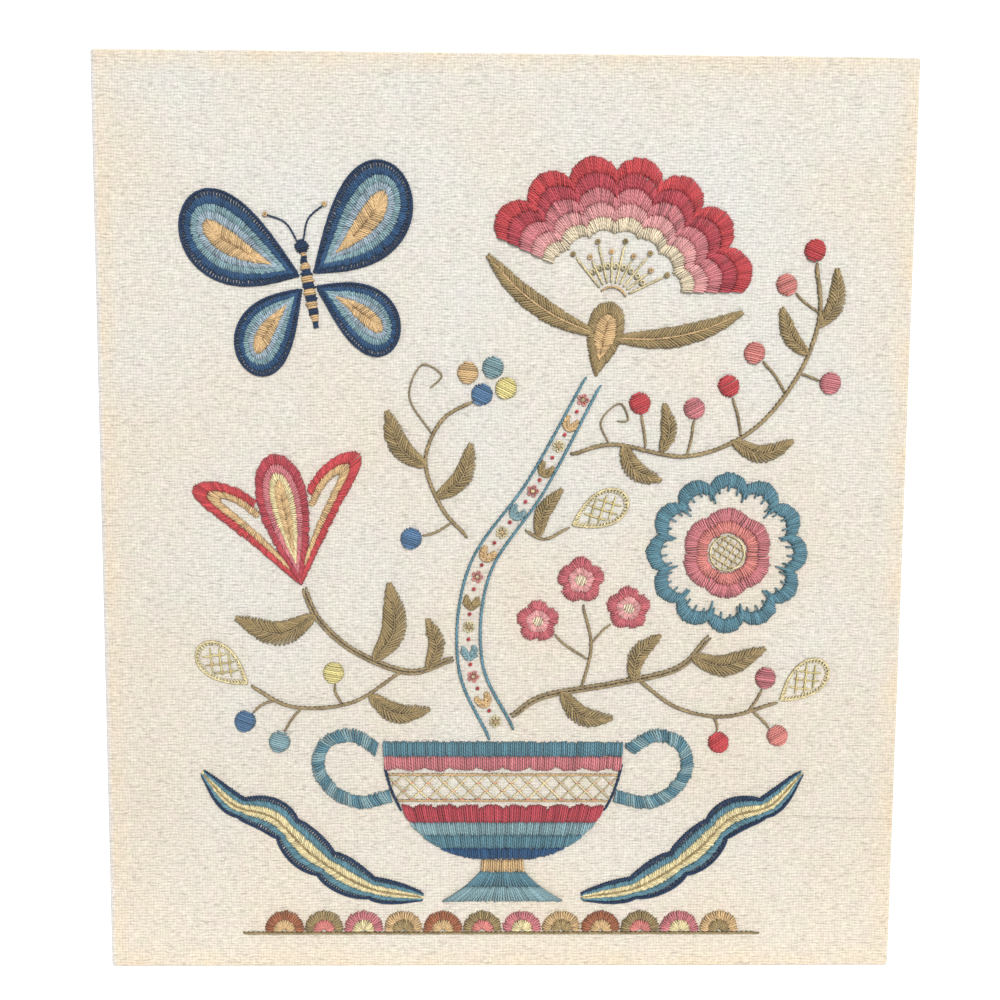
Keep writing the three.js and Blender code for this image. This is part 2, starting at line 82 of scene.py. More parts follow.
studio = {
    "surround": 0.72,
    "keyPower": 283.0,
    "keySize": 2.5,
    "keyPlace": (2.1, 2.6, 5.5),
    "floor": {
        "Base Color": (*dyed(170, 170, 170), 1),
        "Roughness": 0.9,
        "Specular IOR Level": 0.1,
        "Emission Color": (1, 1, 1, 1),
        "Emission Strength": 0.9,
    },
    "floorHalf": 3.0,
}
world = bpy.data.worlds.new("studio")
world.use_nodes = True
world.node_tree.nodes["Background"].inputs["Color"].default_value = (1, 1, 1, 1)
world.node_tree.nodes["Background"].inputs["Strength"].default_value = studio["surround"]
bpy.context.scene.world = world

key = newObject("soft box", bpy.data.lights.new("soft box", "AREA"))
key.data.energy = studio["keyPower"]
key.data.size = studio["keySize"]
key.location = studio["keyPlace"]
key.rotation_euler = (-key.location).to_track_quat("-Z", "Y").to_euler()


# Materials


def newMaterial(name, sockets):
    material = bpy.data.materials.new(name)
    material.use_nodes = True
    shader = material.node_tree.nodes["Principled BSDF"]
    for socket, value in sockets.items():
        shader.inputs[socket].default_value = value
    return material, material.node_tree, shader


def feed(tree, socket, value):  # with a link, or a value of its own
    if isinstance(value, bpy.types.NodeSocket):
        tree.links.new(value, socket)
    else:
        socket.default_value = value


def reckoned(tree, kind, operation, values):
    node = tree.nodes.new(kind)
    node.operation = operation
    for socket, value in zip(node.inputs, values):
        feed(tree, socket, value)
    return node.outputs[0]


def mathNode(tree, operation, *values):
    return reckoned(tree, "ShaderNodeMath", operation, values)


def vectorNode(tree, operation, *values):
    return reckoned(tree, "ShaderNodeVectorMath", operation, values)


def chained(tree, operation, first, *others):
    for other in others:
        first = mathNode(tree, operation, first, other)
    return first


def noise(tree, vector, stretch, detail, scale=1.0):
    node = tree.nodes.new("ShaderNodeTexNoise")
    tree.links.new(vectorNode(tree, "MULTIPLY", vector, stretch), node.inputs["Vector"])
    node.inputs["Scale"].default_value = scale
    node.inputs["Detail"].default_value = detail
    return node.outputs[0]


def ranged(tree, value, low, high, fromLow=0.3, fromHigh=0.7):
    node = tree.nodes.new("ShaderNodeMapRange")
    for socket, given in zip(node.inputs, (value, fromLow, fromHigh, low, high)):
        feed(tree, socket, given)
    return node.outputs[0]


def mixed(tree, blend, factor, first, second):
    node = tree.nodes.new("ShaderNodeMix")
    node.data_type = "RGBA"
    node.blend_type = blend
    for i, value in ((0, factor), (6, first), (7, second)):
        feed(tree, node.inputs[i], (*value, 1) if isinstance(value, np.ndarray) else value)
    return node.outputs[2]


def attribute(tree, name, output="Vector"):
    node = tree.nodes.new("ShaderNodeAttribute")
    node.attribute_name = name
    return node.outputs[output]


def parts(tree, vector):
    node = tree.nodes.new("ShaderNodeSeparateXYZ")
    tree.links.new(vector, node.inputs[0])
    return node.outputs


def bumped(tree, shader, height, strength, depth):
    node = tree.nodes.new("ShaderNodeBump")
    node.inputs["Strength"].default_value = strength
    node.inputs["Distance"].default_value = depth * millimetre
    tree.links.new(height, node.inputs["Height"])
    tree.links.new(node.outputs["Normal"], shader.inputs["Normal"])


# Crewel wool: two plies twisted together, with soft fibres

woolFinish = {
    "sockets": {
        "Roughness": 0.92,
        "Sheen Weight": 0.12,
        "Sheen Roughness": 0.6,
        "Specular IOR Level": 0.15,
    },
    "plyTurn": 1.7,  # millimetres for one turn of the two plies
    "plyDepth": 0.16,
    "plyShade": (0.84, 1.08),
    "fibres": ((0.5, 5, 40), 3, 2.4),  # along, round and from thread to thread, detail, scale
    "fibreHeight": 1.6,
    "bump": 0.8,
    "streaks": (0.84, 1.3),
}


def woolMaterial(name):
    material, tree, shader = newMaterial(name, woolFinish["sockets"])
    twist = attribute(tree, "twist")
    place = parts(tree, twist)
    along = mathNode(tree, "MULTIPLY", place[0], 2 * math.pi / woolFinish["plyTurn"])
    around = mathNode(tree, "MULTIPLY", place[1], 4 * math.pi)
    ply = mathNode(tree, "SINE", mathNode(tree, "ADD", along, around))
    fibres = noise(tree, twist, *woolFinish["fibres"])
    fuzz = mathNode(tree, "MULTIPLY", fibres, woolFinish["fibreHeight"])
    bumped(tree, shader, mathNode(tree, "ADD", ply, fuzz), woolFinish["bump"], woolFinish["plyDepth"])
    # Painted shade: darker in the grooves between the two plies; the tint attribute also carries painted
    # shade at the sides and ends of each thread
    streak = ranged(tree, fibres, *woolFinish["streaks"])
    shade = mathNode(tree, "MULTIPLY", streak, ranged(tree, ply, *woolFinish["plyShade"], -1, 1))
    tint = attribute(tree, "tint", "Color")
    tree.links.new(vectorNode(tree, "MULTIPLY", tint, shade), shader.inputs["Base Color"])
    return material


woolColours = ("red", "pink", "blue", "teal", "navy", "olive", "yellow")
woolMaterials = {colour + "_wool": woolMaterial(colour + " wool") for colour in woolColours}

woolShades = {
    "red": (208, 82, 86),
    "rose": (194, 82, 92),
    "dusty": (216, 134, 139),
    "blush": (232, 168, 166),
    "cream": (236, 220, 190),
    "coral": (226, 142, 134),
    "gold": (222, 187, 138),
    "paleYellow": (238, 222, 172),
    "yellow": (238, 224, 152),
    "teal": (102, 144, 158),
    "aqua": (142, 174, 180),
    "blue": (98, 132, 168),
    "royal": (58, 92, 130),
    "ice": (166, 184, 196),
    "navy": (44, 64, 94),
    "olive": (168, 146, 104),
    "brown": (164, 144, 108),
    "rust": (176, 112, 82),
}
wool = {name: dyed(*shade) for name, shade in woolShades.items()}


# Points and lines in the plane

lineSpacing = 0.25  # millimetres between the points of a smooth line


def together(*columns):
    return np.stack(np.broadcast_arrays(*columns), axis=-1)


def rows(points):
    return np.atleast_2d(np.asarray(points, float))


def unit(steps):
    return steps / np.linalg.norm(steps, axis=-1, keepdims=True)


def polar(angle, radius):
    angle = np.radians(angle)
    return together(radius * np.sin(angle), radius * np.cos(angle))


def placed(at, turn, points):  # a motif's own points, turned clockwise and moved to its place
    x, y = np.moveaxis(np.asarray(points, float), -1, 0)
    c, s = math.cos(math.radians(turn)), math.sin(math.radians(turn))
    return together(at[0] + x * c + y * s, at[1] - x * s + y * c)


def mirrored(line):
    return [(-x, y) for x, y in line]


def lengthsAlong(line):
    steps = np.linalg.norm(np.diff(line, axis=0), axis=1)
    return np.concatenate([[0], np.cumsum(steps)])


def pointAt(line, places, lengths=None):  # places are steps of the line, or distances with lengths
    lengths = np.arange(len(line)) if lengths is None else lengths
    return together(*[np.interp(places, lengths, column) for column in line.T])


def smoothLine(points):  # through given points, then spaced evenly
    points = np.asarray(points, float)
    p = np.concatenate([[2 * points[0] - points[1]], points, [2 * points[-1] - points[-2]]])
    t = np.linspace(0, 1, 40, endpoint=False)[:, None]
    pieces = []
    for a, b, c, d in zip(p, p[1:], p[2:], p[3:]):
        slopeIn, slopeOut = (c - a) / 2, (d - b) / 2
        second = 3 * (c - b) - 2 * slopeIn - slopeOut
        third = 2 * (b - c) + slopeIn + slopeOut
        pieces.append(b + slopeIn * t + second * t**2 + third * t**3)
    line = np.concatenate(pieces + [points[-1:]])
    lengths = lengthsAlong(line)
    total = lengths[-1]
    return pointAt(line, np.linspace(0, total, max(8, int(total / lineSpacing))), lengths)


def turnedLeft(steps):
    return together(-steps[..., 1], steps[..., 0])


def leftOf(line):  # unit steps to the left of the way a line runs
    return turnedLeft(unit(np.gradient(line, axis=0)))


def spacedPlaces(outer, inner, pitch):  # even places between two rails, in steps of the rails
    lengths = lengthsAlong(outer * 0.6 + inner * 0.4)
    count = max(2, round(lengths[-1] / pitch))
    return np.interp(np.linspace(0, lengths[-1], count + 1), lengths, np.arange(len(lengths)))


def insideOutline(points, outline):
    x, y = points[..., 0], points[..., 1]
    inside = np.zeros(x.shape, bool)
    for (ax, ay), (bx, by) in zip(outline, np.roll(outline, -1, axis=0)):
        crosses = (ay > y) != (by > y)
        with np.errstate(divide="ignore", invalid="ignore"):
            inside ^= crosses & (x < ax + (y - ay) * (bx - ax) / (by - ay))
    return inside


# Threads

threadForm = {
    "sides": 6,
    "root": -0.7,  # the ends sink this far into the linen
    "climb": 3.1,  # a stitch reaches its full height this far from its ends
    "groove": 0.13,  # how much light is left deep between two threads
    "dip": 0.15,  # and where a thread goes into the linen
    "dipShare": 0.3,  # over this share of its length
    "shares": np.array([0, 0.06, 0.2, 0.5, 0.8, 0.94, 1]),
    "stemShares": np.linspace(0, 1, 6),
    "tip": 0.78,  # thickness at the ends
    "thickness": 0.06,  # how uneven the threads are in thickness,
    "lightness": 0.15,  # in lightness,
    "height": 0.05,  # in height
    "aside": 0.06,  # and from side to side
    "shortest": 0.5,
    "lap": 0.35,  # a band reaches this far under the next
    "knotTurns": 2.2,
    "satinPitch": 0.98,
}
stitchPlaces = []  # where the needle went through the linen, over the whole panel


def newWork(seed):
    return {"threads": [], "random": np.random.default_rng(seed)}


def layThreads(work, flat, height, wide, high, tint):
    count, stations = flat.shape[:2]
    draw = work["random"]
    shares = np.linspace(0, 1, stations)
    tip = threadForm["tip"]
    taper = tip + (1 - tip) * np.minimum(1, 8 * np.minimum(shares, 1 - shares))
    thickness = (1 + draw.normal(0, threadForm["thickness"], (count, 1))) * taper
    light = np.clip(1 + draw.normal(0, threadForm["lightness"], (count, 1)), 0.75, 1.25)
    tints = np.broadcast_to(wool[tint] if isinstance(tint, str) else tint, (count, 3)) * light
    paths = together(flat[..., 0], flat[..., 1], height)
    work["threads"].append((paths, wide * thickness, high * thickness, tints))
    stitchPlaces.extend([flat[:, 0], flat[:, -1]])


def raised(top, distance, reach):  # from the root up to the top, over the reach
    near = np.clip(distance / np.maximum(reach, 1e-6), 0, 1)
    root = threadForm["root"]
    return faceHeight + root + (top - root) * np.sqrt(1 - (1 - near) ** 2)


def stitches(work, starts, ends, tint, wide=0.51, high=0.5, rise=1.15, ragged=0.22):
    starts, ends = rows(starts), rows(ends)
    draw = work["random"]
    length = np.linalg.norm(ends - starts, axis=1)
    kept = length > threadForm["shortest"]
    if np.ndim(tint) == 2:
        tint = tint[kept]
    starts, ends, length = starts[kept], ends[kept], length[kept]
    count = len(starts)
    if not count:
        return
    run = (ends - starts) / length[:, None]
    across = turnedLeft(run)
    starts, ends = [
        end
        + run * draw.normal(0, ragged, (count, 1))
        + across * draw.normal(0, threadForm["aside"], (count, 1))
        for end in (starts, ends)
    ]
    shares = threadForm["shares"]
    flat = starts[:, None] + (ends - starts)[:, None] * shares[:, None]
    distance = length[:, None] * np.minimum(shares, 1 - shares)
    reach = np.minimum(length / 2, threadForm["climb"])[:, None]
    top = np.minimum(rise, 0.3 + 0.19 * length)[:, None]  # short stitches lie lower
    top = top + draw.normal(0, threadForm["height"], (count, 1))
    layThreads(work, flat, raised(top, distance, reach), wide, high, tint)


def stemLine(work, line, tint, wide=0.5, step=2.2, offset=0.0, rise=0.5):
    line = line + leftOf(line) * offset
    lengths = lengthsAlong(line)
    count = max(1, round(lengths[-1] / step) - 1)
    step = lengths[-1] / (count + 1)
    shares = threadForm["stemShares"]
    distance = (np.arange(count) * step)[:, None] + shares * 2 * step
    side = pointAt(leftOf(line), distance, lengths)
    points = pointAt(line, distance, lengths) + side * (wide * 0.62 * (1 - 2 * shares))[:, None]
    height = raised(rise, 2 * step * np.minimum(shares, 1 - shares), min(step, 1.4))
    layThreads(work, points, height, wide, wide * 0.85, tint)


def frenchKnots(work, places, tint, radius=0.62, wide=0.36):
    places = rows(places)
    shares = np.linspace(0, 1, 18)
    turned = 360 * threadForm["knotTurns"] * shares
    angle = turned + work["random"].uniform(0, 360, (len(places), 1))
    reach = radius * np.sin(math.pi * np.clip(shares * 1.1, 0, 1)) ** 0.4
    height = faceHeight + 0.15 + 0.75 * shares - 1.2 * np.clip((shares - 0.88) / 0.12, 0, 1)
    layThreads(work, places[:, None] + polar(angle, reach), height, wide, wide, tint)


def chainLoops(work, bases, tips, tint, fat=0.3, wide=0.4):
    bases, tips = rows(bases), rows(tips)
    run = tips - bases
    shares = np.linspace(0, 1, 15)
    out = np.abs(2 * shares - 1)
    forward = (1 - out**1.7)[:, None]
    sideways = (fat * np.sin(2 * math.pi * shares))[:, None]
    points = bases[:, None] + run[:, None] * forward + turnedLeft(run)[:, None] * sideways
    layThreads(work, points, faceHeight + 0.4 - 0.8 * (out > 0.97), wide, wide * 0.9, tint)


def satinBand(work, outer, inner, tint, pitch=1.0, fan=None, trim=0, **form):
    places = spacedPlaces(outer, inner, pitch)
    places = places[trim : len(places) - trim]
    starts = pointAt(outer, places)
    ends = pointAt(inner, fan(places) if fan else places)
    run = ends - starts
    length = np.maximum(0.1, np.linalg.norm(run, axis=1, keepdims=True))
    stitches(work, starts, ends + threadForm["lap"] * run / length, tint, **form)


def railBands(work, rails, shades, **form):
    for outer, inner, shade in zip(rails, rails[1:], shades):
        satinBand(work, outer, inner, shade, **form)


def petalBands(work, rim, middle, bands):  # and the inner edge of the last band
    for outerShare, innerShare, shade in bands:
        inner = drawnIn(rim, middle, innerShare)
        satinBand(work, drawnIn(rim, middle, outerShare), inner, shade)
    return inner


def buttonhole(work, outer, inner, tint, pitch, cord, leg=0.42):
    places = spacedPlaces(outer, inner, pitch)
    stitches(work, pointAt(outer, places), pointAt(inner, places), tint, wide=leg, high=leg, rise=0.45)
    stemLine(work, outer, tint, wide=cord, step=pitch, rise=0.5)


def fillToSpine(work, outline, root, tip, tint, slant=0.12):
    starts = pointAt(outline, spacedPlaces(outline, outline, threadForm["satinPitch"]))
    spine = np.subtract(tip, root)
    share = ((starts - root) @ spine) / (spine @ spine)
    ends = np.asarray(root) + np.clip(share - slant, 0, 1)[:, None] * spine
    stitches(work, starts, ends, tint)


def satinDisc(work, at, radius, angle, tint, pitch=0.95, **form):
    count = max(3, round(2 * radius / pitch))
    offsets = (np.arange(count) + 0.5) / count * 2 * radius - radius
    reach = np.sqrt(radius**2 - offsets**2)[:, None] * polar(angle, 1.0)
    middle = np.asarray(at) + offsets[:, None] * polar(angle + 90, 1.0)
    stitches(work, middle - reach, middle + reach, tint, **form)


def crossOf(first, second):
    return first[0] * second[1] - first[1] * second[0]


def latticeIn(work, outline, spacing, angle, tint, tieTint, wide=0.34):
    layers = []
    for level, turn in enumerate((angle, angle + 90)):
        along, across = polar(turn, 1.0), polar(turn + 90, 1.0)
        low, high = (outline @ across).min(), (outline @ across).max()
        count = max(1, round((high - low) / spacing))
        lines = []
        for offset in np.linspace(low, high, count + 1)[1:-1]:
            beside = outline @ across - offset
            following = np.roll(beside, -1)
            crossed = np.nonzero((beside > 0) != (following > 0))[0]
            share = (beside[crossed] / (beside[crossed] - following[crossed]))[:, None]
            hits = outline[crossed] * (1 - share) + np.roll(outline, -1, axis=0)[crossed] * share
            hits = hits[np.argsort(hits @ along)]
            lines.extend(zip(hits[::2], hits[1::2]))
        layers.append(lines)
        if lines:
            starts, ends = np.array(lines).transpose(1, 0, 2)
            stitches(work, starts, ends, tint, wide=wide, high=wide, rise=0.28 + 0.3 * level)
    ties = []
    for a, b in layers[0]:
        for c, d in layers[1]:
            r, s = b - a, d - c
            t, u = crossOf(c - a, s) / crossOf(r, s), crossOf(c - a, r) / crossOf(r, s)
            if 0.02 < t < 0.98 and 0.02 < u < 0.98:
                ties.append(a + r * t)
    if ties:
        reach = polar(angle + 45, 0.95)
        form = {"wide": 0.34, "high": 0.34, "rise": 1.0, "ragged": 0.05}
        stitches(work, np.array(ties) - reach, np.array(ties) + reach, tieTint, **form)


def meshFrom(name, points, quads, others=None):
    mesh = bpy.data.meshes.new(name)
    mesh.vertices.add(len(points))
    mesh.vertices.foreach_set("co", (points * millimetre).astype(np.float32).ravel())
    corners = quads.ravel()
    starts = np.arange(len(quads)) * 4
    if others is not None:
        starts = np.concatenate([starts, len(corners) + np.arange(len(others)) * others.shape[1]])
        corners = np.concatenate([corners, others.ravel()])
    mesh.loops.add(len(corners))
    mesh.loops.foreach_set("vertex_index", corners.astype(np.int32))
    mesh.polygons.add(len(starts))
    mesh.polygons.foreach_set("loop_start", starts.astype(np.int32))
    mesh.polygons.foreach_set("use_smooth", np.ones(len(starts), bool))
    mesh.update(calc_edges=True)
    mesh.validate()
    return mesh


def keepLayer(mesh, name, values, kind="FLOAT_VECTOR", field="vector"):
    layer = mesh.attributes.new(name, kind, "POINT")
    layer.data.foreach_set(field, np.concatenate(values).astype(np.float32).ravel())


def fitPiece(mesh, material, node):
    mesh.materials.append(material)
    piece = newObject(mesh.name, mesh)
    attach(piece, "root")
    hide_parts(node)
    return piece


def finishWork(work, node, slotName):
    sides, groove, dip = threadForm["sides"], threadForm["groove"], threadForm["dip"]
    turns = np.arange(sides) / sides
    angle = 2 * math.pi * turns - math.pi / 2
    # Painted shade: each thread is darkened on its sides, deep between threads, and at its ends where it
    # goes into the linen, and this is kept in the tint attribute with the wool colour
    lit = groove + (1 - groove) * np.clip((np.sin(angle) + 0.15) / 1.15, 0, 1)
    points, tints, twists, quads, caps, base = [], [], [], [], [], 0
    for paths, wide, high, tint in work["threads"]:
        count, stations = paths.shape[:2]
        run = np.gradient(paths, axis=1)
        flat = run * (1, 1, 0) + 1e-3 * ((paths[:, -1] - paths[:, 0]) * (1, 1, 0))[:, None]
        flat = flat / np.maximum(np.linalg.norm(flat, axis=2, keepdims=True), 1e-9)
        across = together(-flat[..., 1], flat[..., 0], 0)
        above = np.cross(unit(run), across)
        ring = (
            paths[:, :, None]
            + (wide[:, :, None] * np.cos(angle))[..., None] * across[:, :, None]
            + (high[:, :, None] * np.sin(angle))[..., None] * above[:, :, None]
        )
        shares = np.linspace(0, 1, stations)
        rising = np.minimum(1, np.minimum(shares, 1 - shares) / threadForm["dipShare"])
        ends = dip + (1 - dip) * np.sin(rising * math.pi / 2)
        colour = np.ones((count, stations, sides, 4))
        colour[..., :3] = tint[:, None, None] * (ends[:, None] * lit)[..., None]
        along = np.zeros((count, stations))
        along[:, 1:] = np.cumsum(np.linalg.norm(np.diff(paths, axis=1), axis=2), axis=1)
        seeds = work["random"].uniform(0, 1, (count, 1))
        twist = together((along + 30 * seeds)[:, :, None], turns, seeds[:, :, None])
        index = base + np.arange(count * stations * sides).reshape(count, stations, sides)
        here, after = index[:, :-1], index[:, 1:]
        quads.append(together(here, np.roll(here, -1, 2), np.roll(after, -1, 2), after).reshape(-1, 4))
        caps.extend([index[:, 0, ::-1], index[:, -1]])
        points.append(ring.reshape(-1, 3))
        tints.append(colour.reshape(-1, 4))
        twists.append(twist.reshape(-1, 3))
        base += index.size
    points, quads, caps = [np.concatenate(part) for part in (points, quads, caps)]
    mesh = meshFrom(node + "_stitching", points, quads, caps)
    keepLayer(mesh, "tint", tints, "FLOAT_COLOR", "color")
    keepLayer(mesh, "twist", twists)
    fitPiece(mesh, woolMaterials[slotName], node)


# Outlines of scalloped flowers, petals and leaves


def scallop(across, tip):
    x = np.minimum(1, np.abs(across))
    return (1 - tip) * np.sqrt(1 - x * x) + tip * (1 - x) ** 1.5


def scallopedRail(at, turn, form, radius, notch):
    angles = np.linspace(form["from"], form["to"], 4 * int(form["to"] - form["from"]) + 1)
    turns = angles / form["pitch"]
    share = scallop(2 * (turns - np.floor(turns + 0.5)), form["tip"])
    return placed(at, turn, polar(angles, radius * (1 - notch * (1 - share))))


def scallopFan(form, amount):  # the inner ends gather towards the middle of each scallop
    steps = 4 * int(form["to"] - form["from"])

    def fan(places):
        angles = form["from"] + (form["to"] - form["from"]) * places / steps
        middle = form["pitch"] * np.floor(angles / form["pitch"] + 0.5)
        x = (angles - middle) / (form["pitch"] / 2)
        angles = middle + (angles - middle) * (1 - amount * (1 - x**4))
        return (angles - form["from"]) * steps / (form["to"] - form["from"])

    return fan


def petalSides(form):  # round the petal from its root and back, anticlockwise
    sides = np.linspace(1, -1, 161)
    return sides, np.clip(np.cos(sides * math.pi / 2), 0, 1) ** form["power"]


def petalMiddle(form, share=0.55, aside=0.0):
    angles = form["axis"] + aside + form["bend"] * share**2
    return np.asarray(form["root"]) + polar(angles, form["length"] * share)


def petalRim(form):
    sides, share = petalSides(form)
    return petalMiddle(form, share, sides * form["spread"])


def petalSpine(form, low=0.3, high=0.74):  # where on its middle line each rim point heads
    return petalMiddle(form, low + (high - low) * petalSides(form)[1])


def drawnIn(outline, middle, share):
    return middle + (outline - middle) * share


def leafEdges(line, half):
    middle = smoothLine(line)
    share = np.linspace(0, 1, len(middle))
    wide = 0.35 + half * np.sin(math.pi * (0.04 + 0.945 * share)) ** 0.8
    left = leftOf(middle) * wide[:, None]
    return middle + left, middle, middle - left


def leafStitches(work, line, half, tint, ribTint=None, pitch=1.35):
    left, middle, right = leafEdges(line, half)
    lean = int(1.1 * half / lineSpacing)
    count = max(4, round(len(middle) * lineSpacing / pitch))
    places = np.linspace(0, len(middle) - 1, count)
    for edge in (left, right):
        stitches(work, pointAt(edge, places + lean * 0.6), pointAt(middle, places - lean * 0.4), tint)
    if ribTint is not None:
        stemLine(work, middle, ribTint, wide=0.4, rise=0.95)


# The large bloom: five graded bands, a heart of veins, knots and loops, and a cup with two sepals

bloom = {
    "at": (46, 98),
    "turn": 12,
    "bands": {"pitch": 148 / 7, "tip": 0.1, "from": -74, "to": 74},
    "rails": [(63, 0.14), (56, 0.13), (49.5, 0.12), (43, 0.11), (37, 0.1), (31.5, 0.08)],
    "shades": ["red", "rose", "dusty", "blush", "cream"],
    "fan": 0.3,
    "heart": {"inner": 8, "veins": 9, "from": -52, "to": 52, "lengths": (17, 12)},
    "cup": {"root": (0, -33), "axis": 0, "length": 33, "spread": 30, "power": 0.5, "bend": 0},
    "cupSpine": ((0, -24), (0, -8)),
    "sepal": {"half": 4.2, "line": [(5, -15), (24, -11), (42, -3), (57, 8)]},
}


def workBloom():
    at, turn, heart, sepal = bloom["at"], bloom["turn"], bloom["heart"], bloom["sepal"]
    work = newWork(11)
    rails = [scallopedRail(at, turn, bloom["bands"], *rail) for rail in bloom["rails"]]
    fan = scallopFan(bloom["bands"], bloom["fan"])
    railBands(work, rails, bloom["shades"], fan=fan, trim=3, rise=1.3)
    finishWork(work, "bloom_bands", "red_wool")

    work = newWork(12)
    angles = np.linspace(heart["from"], heart["to"], heart["veins"])
    lengths = np.where(np.arange(heart["veins"]) % 2, heart["lengths"][1], heart["lengths"][0])
    for root, tip in zip(polar(angles, heart["inner"]), polar(angles, heart["inner"] + lengths)):
        stemLine(work, placed(at, turn, np.linspace(root, tip, 40)), "paleYellow", wide=0.42)
    knots = placed(at, turn, polar(angles, heart["inner"] + lengths + 1.6))
    for first, tint in enumerate(("olive", "gold")):
        frenchKnots(work, knots[first::2], tint, radius=0.85, wide=0.5)
    rim = polar(np.linspace(-60, 60, 200), heart["inner"] - 1.5)
    stemLine(work, placed(at, turn, rim), "gold", wide=0.45)
    seeds = polar(np.linspace(heart["from"] + 6.5, heart["to"] - 6.5, 8), heart["inner"] + 6)
    ends = placed(at, turn, seeds + unit(seeds) * 2.6)
    chainLoops(work, placed(at, turn, seeds), ends, "paleYellow", fat=0.35)
    finishWork(work, "bloom_heart", "yellow_wool")

    work = newWork(13)
    rim = placed(at, turn, petalRim(bloom["cup"]))
    inner = drawnIn(rim, placed(at, turn, petalMiddle(bloom["cup"])), 0.62)
    satinBand(work, rim, inner, "olive")
    fillToSpine(work, inner, *placed(at, turn, bloom["cupSpine"]), "gold")
    for line in (sepal["line"], mirrored(sepal["line"])):
        leafStitches(work, placed(at, turn, line), sepal["half"], "olive", "gold")
    finishWork(work, "bloom_cup", "olive_wool")
    print("bloom worked")


# The blue flower with its twelve lobes, pink and coral ring and latticed heart

aster = {
    "at": (99, -12),
    "edge": {"pitch": 30, "tip": 0.1, "from": 0, "to": 360},
    "edgeRails": [(36, 0.17), (30, 0.18)],
    "ring": {"pitch": 60, "tip": 0, "from": 0, "to": 360},
    "ringRails": [(20, 0.12), (14.5, 0.12), (9.5, 0.1)],
    "ringShades": ["dusty", "coral"],
    "heart": 7.6,
    "spikes": 3.2,
    "spikePitch": 4.4,
}


def workAster():
    at = np.asarray(aster["at"])
    work = newWork(21)
    outer, inner = [scallopedRail(at, 0, aster["edge"], *rail) for rail in aster["edgeRails"]]
    satinBand(work, outer, inner, "teal", fan=scallopFan(aster["edge"], 0.25), rise=1.3)
    roots = pointAt(inner, spacedPlaces(inner, inner, aster["spikePitch"]))
    inward = unit(at - roots)
    long = work["random"].uniform(0.6, 1.0, (len(roots), 1)) * aster["spikes"]
    stitches(work, roots - inward * 1.5, roots + inward * long, "teal", wide=0.42, high=0.4)
    finishWork(work, "aster_edge", "teal_wool")

    work = newWork(22)
    rails = [scallopedRail(at, 0, aster["ring"], *rail) for rail in aster["ringRails"]]
    railBands(work, rails, aster["ringShades"], fan=scallopFan(aster["ring"], 0.3))
    finishWork(work, "aster_ring", "pink_wool")

    work = newWork(23)
    rim = at + polar(np.linspace(0, 360, 121), aster["heart"])
    latticeIn(work, rim[:-1], 3.2, 32, "paleYellow", "gold")
    stemLine(work, at + polar(np.linspace(0, 360, 160), aster["heart"]), "paleYellow", wide=0.4)
    finishWork(work, "aster_heart", "yellow_wool")
    print("aster worked")


# The butterfly

butterfly = {
    "at": (-86, 106),
    "turn": -10,
    "rootX": 3.4,
    "upper": {"rootY": 3, "axis": 60, "length": 57, "spread": 36, "power": 0.45, "bend": -12},
    "lower": {"rootY": -3, "axis": 126, "length": 42, "spread": 35, "power": 0.42, "bend": 12},
    "edge": (1.0, 0.84),
    "bands": [(0.86, 0.68, "royal"), (0.68, 0.5, "aqua"), (0.5, 0.3, "ice")],
    "spine": (0.4, 0.66),
    "body": {"half": 2.1, "line": [(0, -20), (0, 0), (0, 13)]},
    "head": {"at": (0, 15), "radius": 2.9},
    "feeler": [(1.2, 17), (5, 26), (13, 31)],
}


def workWing(seed, name, side, sideName):
    at, turn, form = butterfly["at"], butterfly["turn"], butterfly[name]
    root = (side * butterfly["rootX"], form["rootY"])
    form = dict(form, root=root, axis=side * form["axis"], bend=side * form["bend"])
    work = newWork(seed)
    rim, middle = placed(at, turn, petalRim(form)), placed(at, turn, petalSpine(form))
    edge = [drawnIn(rim, middle, share) for share in butterfly["edge"]]
    buttonhole(work, *edge, "navy", pitch=1.35, cord=0.5, leg=0.5)
    inner = petalBands(work, rim, middle, butterfly["bands"])
    spine = [placed(at, turn, petalMiddle(form, share)) for share in butterfly["spine"]]
    fillToSpine(work, inner, *spine, "gold")
    finishWork(work, f"wing_{name}_{sideName}", "blue_wool")


def workButterfly():
    at, turn, body = butterfly["at"], butterfly["turn"], butterfly["body"]
    workWing(31, "upper", -1, "left")
    workWing(32, "upper", 1, "right")
    workWing(33, "lower", -1, "left")
    workWing(34, "lower", 1, "right")
    work = newWork(35)
    left, _, right = leafEdges(placed(at, turn, body["line"]), body["half"])
    places = spacedPlaces(left, right, 0.95)
    tints = np.where((np.arange(len(places)) // 3 % 2)[:, None], wool["gold"], wool["navy"])
    stitches(work, pointAt(left, places), pointAt(right, places), tints, rise=1.0)
    head = butterfly["head"]
    satinDisc(work, placed(at, turn, head["at"]), head["radius"], 75, "navy")
    for line in (butterfly["feeler"], mirrored(butterfly["feeler"])):
        points = placed(at, turn, line)
        stemLine(work, smoothLine(points), "navy", wide=0.34, step=1.8)
        frenchKnots(work, points[-1], "gold", radius=0.8, wide=0.46)
    finishWork(work, "butterfly_body", "navy_wool")
    print("butterfly worked")


# The tulip: two side petals behind a middle one

tulip = {
    "at": (-90, -27),
    "turn": -12,
    "side": {"root": (0, 0), "axis": 21, "length": 64, "spread": 17, "power": 0.6, "bend": 14},
    "middle": {"root": (0, 0), "axis": 0, "length": 59, "spread": 23, "power": 0.5, "bend": 0},
    "spine": ((0, 20), (0, 41)),
    "sideBands": [(1.0, 0.62, "red"), (0.62, 0.28, "gold")],
    "middleBands": [(1.0, 0.72, "rose"), (0.72, 0.48, "dusty"), (0.48, 0.26, "paleYellow")],
}


